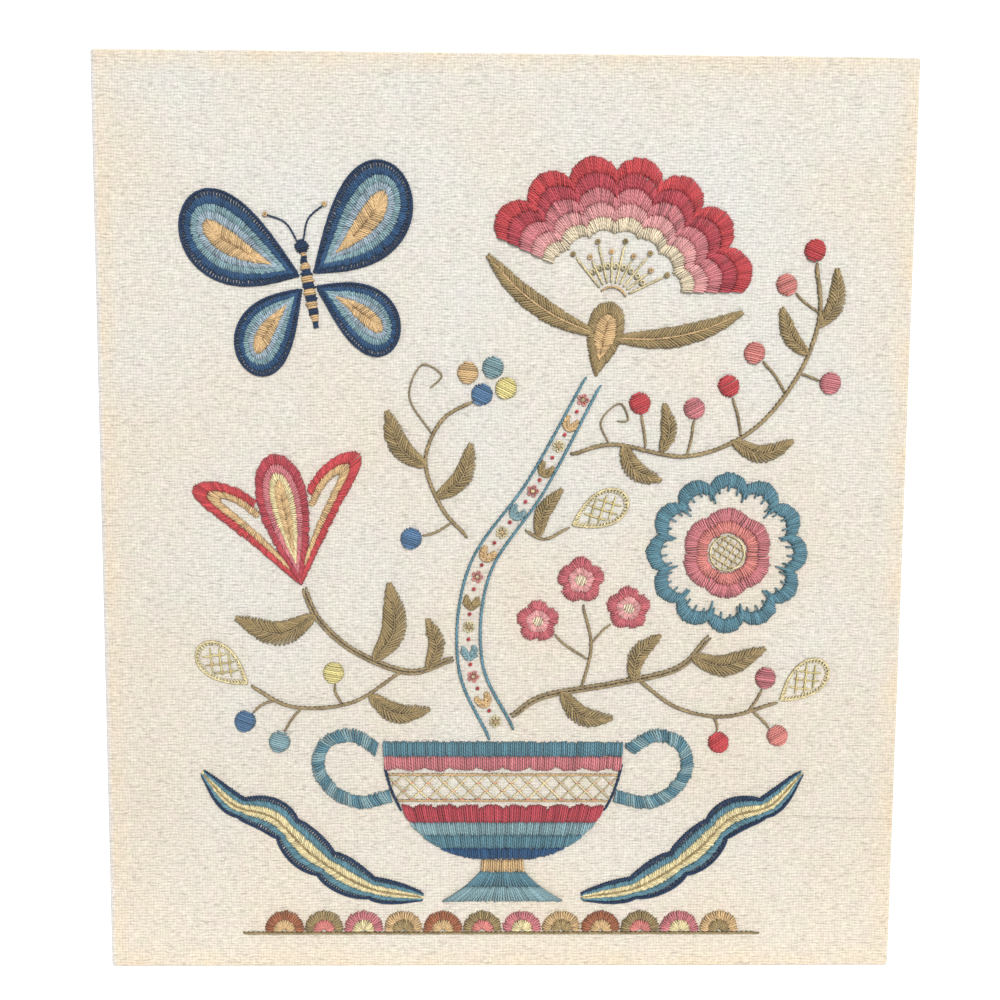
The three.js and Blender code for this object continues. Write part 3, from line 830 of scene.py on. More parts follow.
def outsideOf(outline, starts, ends):  # what is left of each stitch, from its start to the outline
    shares = np.linspace(0, 1, 24)
    points = starts[:, None] + (ends - starts)[:, None] * shares[:, None]
    hidden = insideOutline(points, outline)
    first = np.where(hidden.any(axis=1), hidden.argmax(axis=1), len(shares) - 1)
    return starts, starts + (ends - starts) * shares[first][:, None]


def workTulip():
    at, turn = tulip["at"], tulip["turn"]
    work = newWork(41)
    front = placed(at, turn, petalRim(tulip["middle"]))
    for side in (-1, 1):
        form = dict(tulip["side"], axis=side * tulip["side"]["axis"], bend=side * tulip["side"]["bend"])
        rim, middle = placed(at, turn, petalRim(form)), placed(at, turn, petalSpine(form))
        for outerShare, innerShare, shade in tulip["sideBands"]:
            outer, inner = drawnIn(rim, middle, outerShare), drawnIn(rim, middle, innerShare)
            places = spacedPlaces(outer, inner, threadForm["satinPitch"])
            starts, ends = outsideOf(front, pointAt(outer, places), pointAt(inner, places))
            stitches(work, starts, ends, shade)
    middle = placed(at, turn, petalSpine(tulip["middle"]))
    inner = petalBands(work, front, middle, tulip["middleBands"])
    fillToSpine(work, inner, *placed(at, turn, tulip["spine"]), "gold")
    finishWork(work, "tulip_head", "red_wool")
    print("tulip worked")


# The footed bowl and its handles

bowl = {
    "top": -98,
    "topHalf": 54,
    "waist": -152.3,
    "waistHalf": 9,
    "footTop": -157,
    "footBottom": -172,
    "footHalf": 27,
    "waves": 9,
    "rim": [(-98, 0), (-104.5, 0), (-109, 2)],
    "rimShades": ["teal", "dusty"],
    "lattice": (-113, -125),
    "belly": [(-129, -2), (-135, 0), (-141, 0), (-147, 0), (-152, 0)],
    "bellyShades": ["rose", "aqua", "teal", "royal"],
    "foot": [(-152.6, 0), (-158, 0), (-165, 0), (-172, 0)],
    "footShades": ["gold", "teal", "aqua"],
    "handleHalf": 2.9,
    "handle": [(56.4, -102), (68, -95), (80, -99), (83, -111), (75, -122), (64, -126), (50.9, -123)],
}


def bowlHalf(y):
    y = np.asarray(y, float)
    down = np.clip((bowl["top"] - y) / (bowl["top"] - bowl["waist"]), 0, 1)
    cup = bowl["waistHalf"] + (bowl["topHalf"] - bowl["waistHalf"]) * np.sqrt(1 - down**2)
    low = np.maximum(0, bowl["footTop"] - y) / (bowl["footTop"] - bowl["footBottom"])
    foot = bowl["waistHalf"] + (bowl["footHalf"] - bowl["waistHalf"]) * low**1.4
    return np.where(y > bowl["waist"], cup, foot)


def bowlUnder(x):  # height of the bowl's outside below a place
    share = np.clip((np.abs(x) - bowl["waistHalf"]) / (bowl["topHalf"] - bowl["waistHalf"]), 0, 1)
    return bowl["top"] - np.sqrt(1 - share**2) * (bowl["top"] - bowl["waist"])


def uprightBand(work, upper, lower, tint, pitch=1.0):
    count = round((upper[-1, 0] - upper[0, 0]) / pitch)
    lean = min(0.05, 1 - lower[-1, 0] / upper[-1, 0])
    x = np.linspace(upper[0, 0] + pitch / 2, upper[-1, 0] - pitch / 2, count)
    lowX = x * (1 - lean)
    lowY = np.maximum(np.interp(lowX, *lower.T) - 0.3, bowlUnder(lowX))
    stitches(work, together(x, np.interp(x, *upper.T)), together(lowX, lowY), tint, rise=1.2)


def bowlRail(y, wave):
    across = np.linspace(-1, 1, 361)
    turns = across * bowl["waves"] / 2 + 0.5
    lift = wave * scallop(2 * (turns - np.floor(turns + 0.5)), 0)
    return together(across * bowlHalf(y), y - lift)


def workBowl():
    for seed, name, slotName in (
        (51, "rim", "blue_wool"), (52, "belly", "blue_wool"), (53, "foot", "teal_wool")
    ):
        work = newWork(seed)
        rails = [bowlRail(*rail) for rail in bowl[name]]
        layBand = satinBand if name == "foot" else uprightBand
        for upper, lower, shade in zip(rails, rails[1:], bowl[name + "Shades"]):
            layBand(work, upper, lower, shade)
        finishWork(work, "bowl_" + name, slotName)

    work = newWork(54)
    band = np.linspace(*bowl["lattice"], 30)
    side = together(bowlHalf(band), band)
    outline = np.concatenate([side, side[::-1] * (-1, 1)])
    latticeIn(work, outline, 5.2, 45, "paleYellow", "coral", wide=0.4)
    for y in bowl["lattice"]:
        stemLine(work, bowlRail(y, 0), "gold", wide=0.42)
    heights = np.linspace(bowl["rim"][-1][0] + 1, bowl["belly"][0][0] - 1, 60)
    for direction in (-1, 1):
        stemLine(work, together(direction * (bowlHalf(heights) + 0.2), heights), "navy")
    finishWork(work, "bowl_lattice", "yellow_wool")

    for seed, side, line in ((55, "right", bowl["handle"]), (56, "left", mirrored(bowl["handle"]))):
        work = newWork(seed)
        middle = smoothLine(line)
        left = leftOf(middle) * bowl["handleHalf"]
        places = spacedPlaces(middle + left, middle - left, 1.05)
        tints = np.where((np.arange(len(places)) // 4 % 2)[:, None], wool["aqua"], wool["teal"])
        starts, ends = pointAt(middle + left, places), pointAt(middle - left, places + 8)
        stitches(work, starts, ends, tints, rise=1.1)
        finishWork(work, "bowl_handle_" + side, "blue_wool")
    print("bowl worked")


# The lobed leaves beside the bowl: a navy buttonhole edge, teal and pale yellow inside

curledLeaf = {
    "half": 8.6,
    "lobes": 5,
    "lobeFloor": 0.7,
    "line": [(36, -170), (62, -165), (86, -150), (103, -133), (121, -127), (135, -112)],
    "edge": 0.74,
    "split": 0.4,
    "lean": 9,
}


def workCurledLeaves():
    floor = curledLeaf["lobeFloor"]
    for seed, side, line in ((61, "right", curledLeaf["line"]), (62, "left", mirrored(curledLeaf["line"]))):
        work = newWork(seed)
        left, middle, right = leafEdges(line, curledLeaf["half"])
        share = np.linspace(0, 1, len(middle))[:, None]
        lobed = floor + (1 - floor) * np.abs(np.sin(math.pi * curledLeaf["lobes"] * share)) ** 0.6
        for edge in (left, right):
            rim, band, between = [
                middle + (edge - middle) * lobed * amount
                for amount in (1, curledLeaf["edge"], curledLeaf["split"])
            ]
            buttonhole(work, rim, band, "navy", pitch=1.25, cord=0.5, leg=0.48)
            for outer, inner, shade in ((band, between, "teal"), (between, middle, "paleYellow")):
                places = spacedPlaces(outer, inner, threadForm["satinPitch"])
                starts = pointAt(outer, places + curledLeaf["lean"])
                stitches(work, starts, pointAt(inner, places), shade)
        stemLine(work, middle, "olive", rise=0.9)
        finishWork(work, "curled_leaf_" + side, "navy_wool")
    print("lobed leaves worked")


# The row of half rounds

ground = {
    "y": -187,
    "half": 118,
    "radius": 8.6,
    "inner": 5.0,
    "core": 0.9,
    "pitch": 18,
    "count": 12,
    "lift": 1.6,
    "outerShades": ["rust", "olive", "dusty", "gold"],
    "innerShades": ["gold", "coral", "paleYellow", "olive"],
}


def workGround():
    work = newWork(71)
    half, y = ground["half"], ground["y"]
    stemLine(work, np.linspace((-half, y), (half, y), 400), "olive")
    first = -ground["pitch"] * (ground["count"] - 1) / 2
    angles = np.linspace(-90, 90, 121)
    for i in range(ground["count"]):
        at = np.array([first + i * ground["pitch"], y + ground["lift"]])
        outer, inner, core = [at + polar(angles, ground[name]) for name in ("radius", "inner", "core")]
        satinBand(work, outer, inner, ground["outerShades"][i % 4])
        satinBand(work, inner, core, ground["innerShades"][i % 4], pitch=0.8)
    finishWork(work, "ground_row", "olive_wool")
    print("ground worked")


# The main stem and the sprays that grow from it: half a width and a line for each twig and leaf

mainStem = {
    "rootHalf": 6.6,
    "tipHalf": 4.4,
    "line": [(-0.6, -94.8), (-15, -62), (-11, -20), (14, 18), (38.4, 63.9)],
    "leafShades": ("gold", "aqua", "olive"),
    "pitch": 11.4,
}

sprays = {
    "spray_tulip": {
        "lines": [
            (1.7, [(-22.6, -59.8), (-42, -66), (-66, -57), (-82, -43), (-89, -28.5)]),
            (1.2, [(-46, -66), (-68, -80), (-94, -82), (-113, -72.5)]),
            (0.9, [(-72, -80.5), (-75, -76), (-75.6, -71.6)]),
            (0.9, [(-90, -82), (-95, -88), (-98, -93.6)]),
            (0.9, [(-102, -79), (-108, -81), (-112, -85)]),
        ],
        "leaves": [
            (5, [(-58, -61), (-49, -47), (-51, -26)]),
            (5, [(-84, -40.5), (-100, -49), (-119, -42)]),
            (4, [(-60, -76.5), (-48, -85), (-33, -83)]),
            (3.2, [(-34, -64.5), (-30, -54), (-34, -42)]),
        ],
    },
    "spray_aster": {
        "lines": [
            (1.7, [(3.4, -86.4), (18, -77), (50, -71), (78, -64), (92, -49.4)]),
            (1.2, [(60, -69), (78, -82), (100, -86), (123.4, -79.4)]),
            (0.9, [(94, -85.6), (96, -89), (96.6, -93)]),
            (0.9, [(112, -83.6), (117, -88), (120, -91.4)]),
            (0.9, [(110, -84), (114, -78), (116, -73.4)]),
            (1, [(35, -73), (39, -54), (35, -35.4)]),
            (0.8, [(38, -54), (44, -47), (47.6, -44)]),
            (0.8, [(37.6, -60), (28, -54), (22.6, -49)]),
        ],
        "leaves": [
            (4.5, [(84, -58.5), (99, -63), (117, -55)]),
            (4, [(26, -75), (35, -86), (49, -87)]),
            (3.4, [(58, -70), (60, -58), (70, -49)]),
        ],
    },
    "spray_left": {
        "lines": [
            (1.3, [(-16.2, -5.6), (-28, 8), (-35, 28), (-28, 46), (-14.6, 54.6)]),
            (0.9, [(-23, 1.6), (-30, -3), (-36.4, -5)]),
            (0.6, [(-32, 40), (-42, 56), (-37, 70), (-28, 66), (-33, 60)]),
        ],
        "leaves": [
            (3.8, [(-30, 12), (-19, 21), (-15, 36)]),
            (4.2, [(-35, 26), (-46, 34), (-52, 50)]),
        ],
    },
    "spray_right": {
        "lines": [
            (1.4, [(28.8, 31.4), (48, 36), (80, 31), (108, 42), (128, 66), (137, 92), (135, 115.6)]),
            (0.9, [(62, 34.5), (61, 42), (59.6, 49)]),
            (0.9, [(80, 31), (82, 39), (82.8, 46.8)]),
            (0.9, [(104, 40), (102, 50), (99.6, 56.8)]),
            (0.9, [(123, 59), (118, 67), (112.6, 72.6)]),
            (0.9, [(128.6, 68), (134, 66), (138, 64.6)]),
            (0.9, [(137, 94), (131, 98), (126.2, 102.4)]),
            (0.6, [(46, 35.6), (42, 46), (50, 54), (54, 47), (49, 46)]),
        ],
        "leaves": [
            (3.8, [(52, 36), (57, 25), (69, 20)]),
            (3.6, [(100, 38), (113, 32), (127, 38)]),
            (3.4, [(136.6, 88), (144, 98), (144.4, 113)]),
            (3, [(69, 33), (72, 42), (70, 54)]),
            (3.2, [(132.4, 76), (125, 83), (120.4, 96)]),
        ],
    },
    "twig_middle": {
        "lines": [(1, [(8.8, -2.2), (18, -6), (28.6, -0.6)])],
        "leaves": [(3, [(15, -5), (17, 6), (25, 16)])],
    },
}


def daisies(work, places, petals, tint, eye, turn=0.0):
    for place in places:
        angles = turn + np.arange(petals) * 360 / petals
        chainLoops(work, place + polar(angles, 0.5), place + polar(angles, 2.5), tint, fat=0.34, wide=0.36)
        frenchKnots(work, place, eye, radius=0.5, wide=0.36)


def workMainStem():
    work = newWork(81)
    middle = smoothLine(mainStem["line"])
    lengths = lengthsAlong(middle)
    share = lengths / lengths[-1]
    half = mainStem["rootHalf"] + (mainStem["tipHalf"] - mainStem["rootHalf"]) * share
    left = leftOf(middle)
    for direction in (-1, 1):
        stemLine(work, middle + left * (direction * (half - 0.75))[:, None], "teal", wide=0.55)
    motifs = np.arange(7, lengths[-1] - 5, mainStem["pitch"])
    flowers = pointAt(middle, motifs, lengths)[::2]
    daisies(work, flowers[::2], 6, "paleYellow", "gold")
    daisies(work, flowers[1::2], 5, "coral", "paleYellow", turn=20)
    for i, distance in enumerate(motifs[1::2]):
        root = pointAt(middle, distance - 3.4, lengths)
        beside = pointAt(left, distance, lengths)
        onward = np.array([beside[1], -beside[0]])
        for direction in (-1, 1):
            tip = root + onward * 5.6 + direction * beside * 2.3
            line = [root, root + onward * 2.9 + direction * beside * 2.1, tip]
            leafStitches(work, line, 1.15, mainStem["leafShades"][i % 3], pitch=0.8)
    beads = pointAt(middle, motifs[:-1] + mainStem["pitch"] / 2, lengths)
    frenchKnots(work, beads, "red", radius=0.55, wide=0.4)
    finishWork(work, "stem_main", "teal_wool")


def workSprays():
    for seed, (name, spray) in enumerate(sprays.items(), 82):
        work = newWork(seed)
        for half, points in spray["lines"]:
            line = smoothLine(points)
            if half > 1.5:
                for offset in (-0.75, 0.75):
                    stemLine(work, line, "brown", wide=0.55, offset=offset, step=2.4)
            else:
                stemLine(work, line, "brown", wide=0.55 * half, step=1.6 + 0.5 * half)
        for half, points in spray["leaves"]:
            leafStitches(work, points, half, "olive", "brown")
        finishWork(work, name, "olive_wool")
    print("stems worked")


# Lattice leaves, pinks and berries

latticeLeaf = {"spread": 36, "power": 0.55, "bend": 0}
latticeLeaves = {
    "left": {"root": (-114.4, -71.6), "axis": -52, "length": 27},
    "right": {"root": (124.6, -78.6), "axis": 50, "length": 26},
    "middle": {"root": (30, 0.2), "axis": 62, "length": 27},
}


def workLatticeLeaves():
    for seed, (name, leaf) in enumerate(latticeLeaves.items(), 91):
        work = newWork(seed)
        form = {**latticeLeaf, **leaf}
        rim, middle = petalRim(form), petalMiddle(form)
        buttonhole(work, rim, drawnIn(rim, middle, 0.84), "paleYellow", pitch=1.5, cord=0.45)
        latticeIn(work, drawnIn(rim, middle, 0.76)[:-1], 4.2, leaf["axis"] + 45, "yellow", "gold")
        finishWork(work, "lattice_leaf_" + name, "yellow_wool")
    print("lattice leaves worked")


pinks = {
    "form": {"pitch": 72, "tip": 0, "from": 0, "to": 360},
    "outer": (1, 0.3),
    "inner": (0.58, 0.16),
    "eye": (0.26, 0),
    "places": {"upper": ((34, -24.4), 10.4), "right": ((55.4, -37), 9.8), "left": ((15, -43), 9.4)},
}


def workPinks():
    form = pinks["form"]
    for seed, (name, (at, radius)) in enumerate(pinks["places"].items(), 101):
        work = newWork(seed)
        outer, inner, eye = [
            scallopedRail(at, 0, form, radius * share, notch)
            for share, notch in (pinks["outer"], pinks["inner"], pinks["eye"])
        ]
        satinBand(work, outer, inner, wool["rose"] * 0.5 + wool["dusty"] * 0.5, fan=scallopFan(form, 0.3))
        satinBand(work, inner, eye, "blush", pitch=0.8)
        satinDisc(work, at, radius * pinks["eye"][0], 20, "cream")
        finishWork(work, "pink_" + name, "pink_wool")
    print("pinks worked")


berries = {
    "radius": 4.7,
    "ragged": 0.08,
    "rows": [
        ("right_1", "red", "red_wool", (59, 54.2)),
        ("right_2", "dusty", "pink_wool", (83, 52)),
        ("right_3", "red", "red_wool", (98, 62)),
        ("right_4", "coral", "pink_wool", (109, 76.4)),
        ("right_5", "dusty", "pink_wool", (142.8, 63.4)),
        ("right_6", "coral", "pink_wool", (122.4, 106)),
        ("right_7", "red", "red_wool", (134.4, 120.8)),
        ("left_1", "blue", "blue_wool", (-10.4, 57.6)),
        ("left_2", "yellow", "yellow_wool", (0.2, 60.4)),
        ("left_3", "aqua", "teal_wool", (-5.6, 69.4)),
        ("left_4", "gold", "yellow_wool", (-16.6, 67)),
        ("left_5", "blue", "blue_wool", (-41.4, -6)),
        ("low_1", "yellow", "yellow_wool", (-76, -66.4)),
        ("low_2", "aqua", "teal_wool", (-100.4, -98)),
        ("low_3", "blue", "blue_wool", (-115.6, -88.6)),
        ("drop_1", "red", "red_wool", (97, -98)),
        ("drop_2", "coral", "pink_wool", (123.6, -94.8)),
        ("drop_3", "dusty", "pink_wool", (117.6, -68.4)),
    ],
}


def workBerries():
    for seed, (name, shade, slotName, at) in enumerate(berries["rows"], 111):
        work = newWork(seed)
        angle = work["random"].uniform(55, 120)
        satinDisc(work, at, berries["radius"], angle, shade, ragged=berries["ragged"])
        finishWork(work, "berry_" + name, slotName)
    print("berries worked")


workBloom()
workAster()
workButterfly()
workTulip()
workBowl()
workCurledLeaves()
workGround()
workMainStem()
workSprays()
workLatticeLeaves()
workPinks()
workBerries()


# The linen: stretched over the bars, round their edges and turned in behind

linenForm = {
    "cell": 2.6,
    "thick": 1.2,
    "cornerRadius": 1.8,
    "edgeRadius": 1.4,
    "turnedIn": 26,
    "backCorner": 2.0,
    "cornerShares": np.array([0.25, 0.5, 0.75, 1.0]),
    "rollTurns": np.radians([0, 25, 45, 65, 90]),
    "flatCut": (0.4496, 0.5004),  # the face, its four sides and 26 mm turned in all round
    "pull": 0.3,  # how far stitching draws the cloth down
    "ripple": 0.16,
    "waves": ((0.22, 60, 5), (0.1, 16, 6)),  # height, length and seed
    "crease": {"level": -128.7, "slope": -0.028, "from": 92, "over": 22, "high": 0.25, "half": 1.1},
}


def gridShares(half):  # straight steps from -1 to 1, and corner steps out to -2 and 2
    corner = linenForm["cornerShares"]
    straight = np.linspace(-1, 1, round(2 * half / linenForm["cell"]) + 1)
    return np.concatenate([-1 - corner[::-1], straight, 1 + corner])


def cornerRounded(u, v, halfX, halfY, radius):
    inX, inY = halfX - radius, halfY - radius
    a, b = np.maximum(0, np.abs(u) - 1), np.maximum(0, np.abs(v) - 1)
    x = np.sign(u) * (np.minimum(1, np.abs(u)) * inX + radius * a * np.sqrt(1 - b**2 / 2))
    y = np.sign(v) * (np.minimum(1, np.abs(v)) * inY + radius * b * np.sqrt(1 - a**2 / 2))
    return x, y


def linenLoops(inset):  # from the edge of the face, down the sides and in behind
    top, low = faceHeight - inset, inset
    reach = max(0.25, linenForm["edgeRadius"] - inset)
    sideX, sideY = halfWidth - inset, halfHeight - inset
    corner = max(0.4, linenForm["cornerRadius"] - inset)

    def rolled(turn, height):
        back = reach * (1 - math.sin(turn))
        return sideX - back, sideY - back, max(0.2, corner - back), height

    turns = linenForm["rollTurns"]
    loops = [rolled(turn, top - reach * (1 - math.cos(turn))) for turn in turns]
    for share in np.linspace(0, 1, 8)[1:-1]:
        loops.append((sideX, sideY, corner, top - reach - share * (top - low - 2 * reach)))
    loops += [rolled(turn, low + reach * (1 - math.cos(turn))) for turn in turns[::-1]]
    folded = np.array(loops[-1])
    turnedIn = linenForm["turnedIn"]
    window = np.array([halfWidth - turnedIn, halfHeight - turnedIn, linenForm["backCorner"], low])
    loops += [folded + (window - folded) * share for share in np.linspace(0, 1, 8)[1:]]
    return loops


def softNoise(x, y, scale, seed):  # sum of a few slow waves, the same every run
    draw = np.random.default_rng(seed)
    total = 0
    for _ in range(7):
        angle, phase = draw.uniform(0, 2 * math.pi, 2)
        length = scale * draw.uniform(0.6, 1.8)
        total = total + np.sin(2 * math.pi * (x * math.cos(angle) + y * math.sin(angle)) / length + phase)
    return total / 7


def fromEdgeOf(x, y):
    return np.minimum(halfWidth - np.abs(x), halfHeight - np.abs(y))


def pulledHeight(x, y, nearest):
    free = np.clip((fromEdgeOf(x, y) - 2) / 14, 0, 1)
    slow, quick = [high * softNoise(x, y, length, seed) for high, length, seed in linenForm["waves"]]
    pull = -linenForm["pull"] * np.exp(-((nearest / 2.2) ** 2))
    ripple = linenForm["ripple"] * np.exp(-(((nearest - 4.5) / 3) ** 2)) * softNoise(x, y, 7, 7)
    form = linenForm["crease"]
    beside = (y - form["level"] - form["slope"] * x) / form["half"]
    crease = form["high"] * np.exp(-(beside**2)) * np.clip((x - form["from"]) / form["over"], 0, 1)
    return free * (slow + quick + pull + ripple + crease)


def needleTree():
    tree = KDTree(sum(len(places) for places in stitchPlaces))
    for i, place in enumerate(np.concatenate(stitchPlaces)):
        tree.insert((place[0], place[1], 0), i)
    tree.balance()
    return tree


def makeLinen():
    u, v = gridShares(halfWidth), gridShares(halfHeight)
    gridU, gridV = np.meshgrid(u, v, indexing="ij")
    lastI, lastJ = len(u) - 1, len(v) - 1
    upI, upJ = np.arange(lastI), np.arange(lastJ)
    ringI = np.concatenate([upI, np.full(lastJ, lastI), lastI - upI, np.zeros(lastJ, int)])
    ringJ = np.concatenate([np.zeros(lastI, int), upJ, np.full(lastI, lastJ), lastJ - upJ])
    outward = together((ringI == lastI) * 1.0 - (ringI == 0), (ringJ == lastJ) * 1.0 - (ringJ == 0))
    tree = needleTree()
    points, cloth, wear, quads, innermost = [], [], [], [], []
    base = 0
    for layer, inset in enumerate((0.0, linenForm["thick"])):
        way = -1 if layer else 1  # the layer behind faces the other way
        loops = linenLoops(inset)
        x, y = cornerRounded(gridU, gridV, *loops[0][:3])
        if layer == 0:
            nearest = [tree.find((px, py, 0))[2] for px, py in zip(x.ravel(), y.ravel())]
            nearest = np.array(nearest).reshape(x.shape)
            lift = pulledHeight(x, y, nearest)
        points.append(together(x, y, loops[0][3] + lift).reshape(-1, 3))
        cloth.append(together(x, y, 0).reshape(-1, 3))
        wear.append(together(fromEdgeOf(x, y), nearest, 0).reshape(-1, 3))
        index = base + np.arange(x.size).reshape(x.shape)
        base += x.size
        face = together(index[:-1, :-1], index[1:, :-1], index[1:, 1:], index[:-1, 1:])
        quads.append(face.reshape(-1, 4)[:, ::way])
        before = index[ringI, ringJ]
        rim = together(x, y)[ringI, ringJ]
        travelled = 0.0
        for last, loop in zip(loops, loops[1:]):
            travelled += math.hypot(loop[0] - last[0], loop[3] - last[3])
            here = base + np.arange(len(ringI))
            base += len(ringI)
            points.append(together(*cornerRounded(u[ringI], v[ringJ], *loop[:3]), loop[3]))
            cloth.append(together(*(rim + outward * travelled).T, 0))
            wear.append(together(np.full(len(ringI), 0.5 + travelled), 50.0, 0))
            quads.append(together(before, here, np.roll(here, -1), np.roll(before, -1))[:, ::way])
            before = here
        innermost.append(before)
    outer, inner = innermost
    quads.append(together(outer, inner, np.roll(inner, -1), np.roll(outer, -1)))
    mesh = meshFrom("linen_cloth", np.concatenate(points), np.concatenate(quads))
    keepLayer(mesh, "cloth", cloth)
    keepLayer(mesh, "wear", wear)
    return mesh


linenFinish = {
    "sockets": {"Roughness": 0.93, "Specular IOR Level": 0.2, "Sheen Weight": 0.1},
    "pale": dyed(220, 218, 211),
    "warm": dyed(224, 213, 195),
    "pinkish": dyed(255, 252, 254),
    "greenish": dyed(253, 255, 252),
    "stain": dyed(231, 211, 181),
    # painted shade of the left edge where it rolls away
    "rolledEdgeShade": dyed(222, 223, 228),
    "thread": 1.3,  # millimetres from thread to thread
    "threadDepth": 0.2,
    "bump": 0.62,
    "wander": 1.8,  # how far the threads stray from straight
    "sharpness": (0.35, 0.8),  # of the ridges across and up
    "noises": {  # stretch across, up and through, and detail
        "bend": ((0.13, 0.13, 1), 1),
        "weft": ((0.42, 1.2, 1), 1),
        "warp": ((1.2, 0.42, 1), 1),
        "slubs": ((0.22, 1.1, 1.3), 1),
        "crinkle": ((0.2, 0.45, 1), 2),
        "blotch": ((0.013, 0.011, 1), 3),
        "flecks": ((0.14, 0.14, 1), 2),
        "patches": ((0.05, 0.05, 1), 4),
    },
}


def linenMaterial():
    material, tree, shader = newMaterial("cream linen", linenFinish["sockets"])
    cloth = attribute(tree, "cloth")

    def clothNoise(name, vector=cloth):
        return noise(tree, vector, *linenFinish["noises"][name])

    bend = vectorNode(tree, "MULTIPLY", clothNoise("bend"), (linenFinish["wander"],) * 3)
    moved = vectorNode(tree, "ADD", cloth, bend)
    ridges = []
    for place, sharpness in zip(parts(tree, moved), linenFinish["sharpness"]):
        turned = mathNode(tree, "MULTIPLY", place, math.pi / linenFinish["thread"])
        wave = mathNode(tree, "ABSOLUTE", mathNode(tree, "SINE", turned))
        ridges.append(mathNode(tree, "POWER", wave, sharpness))
    weave = mathNode(tree, "MULTIPLY", *ridges)
    weft, warp, slubs = [clothNoise(name, moved) for name in ("weft", "warp", "slubs")]
    height = weave
    for layer, amount in ((weft, 1.5), (warp, 0.7), (clothNoise("crinkle"), 0.6)):
        height = mathNode(tree, "ADD", height, mathNode(tree, "MULTIPLY", layer, amount))
    bumped(tree, shader, height, linenFinish["bump"], linenFinish["threadDepth"])

    # Warm towards the edges and the bottom, with faint pink and green flecks
    fromEdge = parts(tree, attribute(tree, "wear"))[0]
    across, upward, _ = parts(tree, cloth)
    warmth = chained(
        tree,
        "ADD",
        ranged(tree, fromEdge, 0.2, 0, 5, 55),
        ranged(tree, clothNoise("blotch"), 0, 0.6, 0.38, 0.68),
        ranged(tree, upward, 0.55, 0, -halfHeight, 120),
    )
    warmth = mathNode(tree, "MINIMUM", warmth, 1)
    colour = mixed(tree, "MIX", warmth, linenFinish["pale"], linenFinish["warm"])
    greener = ranged(tree, clothNoise("flecks"), 0, 1, 0.35, 0.65)
    fleck = mixed(tree, "MIX", greener, linenFinish["pinkish"], linenFinish["greenish"])
    colour = mixed(tree, "MULTIPLY", 1.0, colour, fleck)

    # Stained along the edge, and a painted bluish-grey shade where the left edge rolls away
    patches = ranged(tree, clothNoise("patches"), 0.15, 1, 0.35, 0.65)
    stain = mathNode(tree, "MULTIPLY", ranged(tree, fromEdge, 0.7, 0, 1, 11), patches)
    colour = mixed(tree, "MIX", stain, colour, linenFinish["stain"])
    inside = ranged(tree, across, 0.6, 0, 0.8 - halfWidth, 2.8 - halfWidth)
    outside = ranged(tree, across, 0, 1, -2.5 - halfWidth, -0.8 - halfWidth)
    rolledEdgeShadeMask = mathNode(tree, "MULTIPLY", inside, outside)
    colour = mixed(tree, "MIX", rolledEdgeShadeMask, colour, linenFinish["rolledEdgeShade"])

    # The threads' own tone, painted shade in the weave between the threads and along the crease, and
    # lighter at the bottom
    form = linenForm["crease"]
    level = mathNode(tree, "MULTIPLY_ADD", across, form["slope"], form["level"])
    beside = mathNode(tree, "ABSOLUTE", mathNode(tree, "SUBTRACT", upward, level))
    along = ranged(tree, across, 0, 1, form["from"], form["from"] + form["over"])
    crease = mathNode(tree, "MULTIPLY", along, ranged(tree, beside, 0.13, 0, 0.15, 0.8))
    shade = chained(
        tree,
        "MULTIPLY",
        ranged(tree, weft, 0.87, 1.09),
        ranged(tree, warp, 0.92, 1.05),
        ranged(tree, weave, 0.85, 1.06, 0.0, 1.0),
        ranged(tree, slubs, 0.82, 1.0, 0.32, 0.4),
        ranged(tree, upward, 1.09, 1.0, -halfHeight, 70 - halfHeight),
        mathNode(tree, "SUBTRACT", 1, crease),
    )
    tree.links.new(vectorNode(tree, "MULTIPLY", colour, shade), shader.inputs["Base Color"])
    return material


linen = fitPiece(makeLinen(), linenMaterial(), "linen")
bars = [f"stretcher_bar_{side}" for side in ("right", "top", "left", "bottom")]
print("linen stretched")


# The pine bars keep their own shape

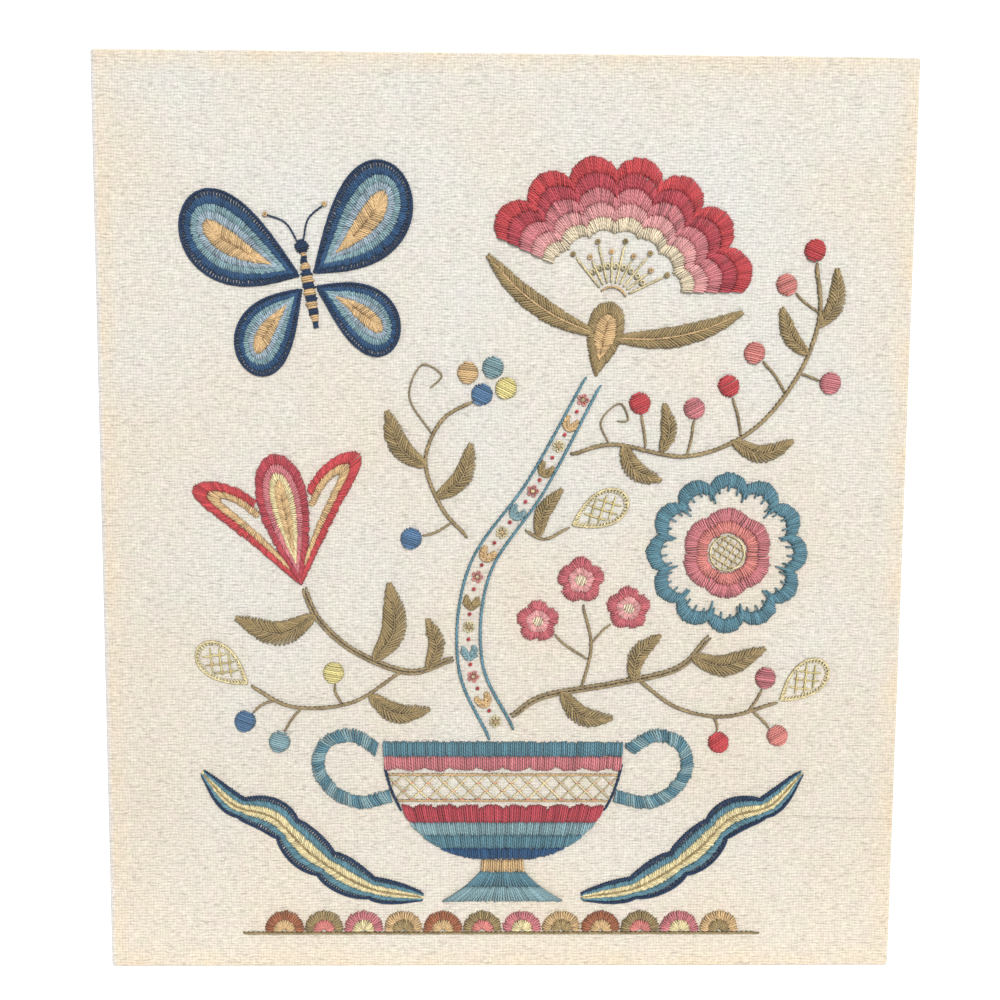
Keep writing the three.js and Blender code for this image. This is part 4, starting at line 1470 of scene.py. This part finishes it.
pineFinish = {
    "sockets": {"Roughness": 0.62},
    "pale": dyed(222, 192, 146),
    "dark": dyed(184, 142, 92),
    "rings": {"Scale": 0.16, "Distortion": 6, "Detail": 2, "Detail Scale": 0.4},
    "wander": ((0.09, 0.09, 0.09), 3),
    "pores": ((3, 3, 3), 2),
    "poreShade": 0.35,
    "bump": 0.3,
    "poreDepth": 0.15,
}


def pineMaterial(lengthwise):
    material, tree, shader = newMaterial("pine along " + lengthwise, pineFinish["sockets"])
    place = tree.nodes.new("ShaderNodeTexCoord").outputs["Object"]
    stretch = (12, 1000, 1000) if lengthwise == "x" else (1000, 12, 1000)
    stretched = vectorNode(tree, "MULTIPLY", place, stretch)
    rings = tree.nodes.new("ShaderNodeTexWave")
    rings.wave_type = "BANDS"
    rings.bands_direction = "Y" if lengthwise == "x" else "X"
    for socket, value in pineFinish["rings"].items():
        rings.inputs[socket].default_value = value
    tree.links.new(stretched, rings.inputs["Vector"])
    wander = ranged(tree, noise(tree, stretched, *pineFinish["wander"]), 0.4, 1)
    pores = noise(tree, stretched, *pineFinish["pores"])
    grain = mathNode(tree, "MULTIPLY", rings.outputs["Fac"], wander)
    colour = mixed(tree, "MIX", grain, pineFinish["pale"], pineFinish["dark"])
    colour = mixed(tree, "MULTIPLY", pineFinish["poreShade"], colour, pores)
    tree.links.new(colour, shader.inputs["Base Color"])
    bumped(tree, shader, pores, pineFinish["bump"], pineFinish["poreDepth"])
    return material


pine = {lengthwise: pineMaterial(lengthwise) for lengthwise in ("x", "y")}
for name in bars:
    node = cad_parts[name]
    node.data.materials.clear()
    node.data.materials.append(pine["x" if name.endswith(("top", "bottom")) else "y"])
print("bars finished")


# Floor

half = studio["floorHalf"]
floorMesh = bpy.data.meshes.new("floor")
floorCorners = [(-half, -half, 0), (half, -half, 0), (half, half, 0), (-half, half, 0)]
floorMesh.from_pydata(floorCorners, [], [(0, 1, 2, 3)])
floorMesh.materials.append(newMaterial("pale floor", studio["floor"])[0])
newObject("floor", floorMesh)
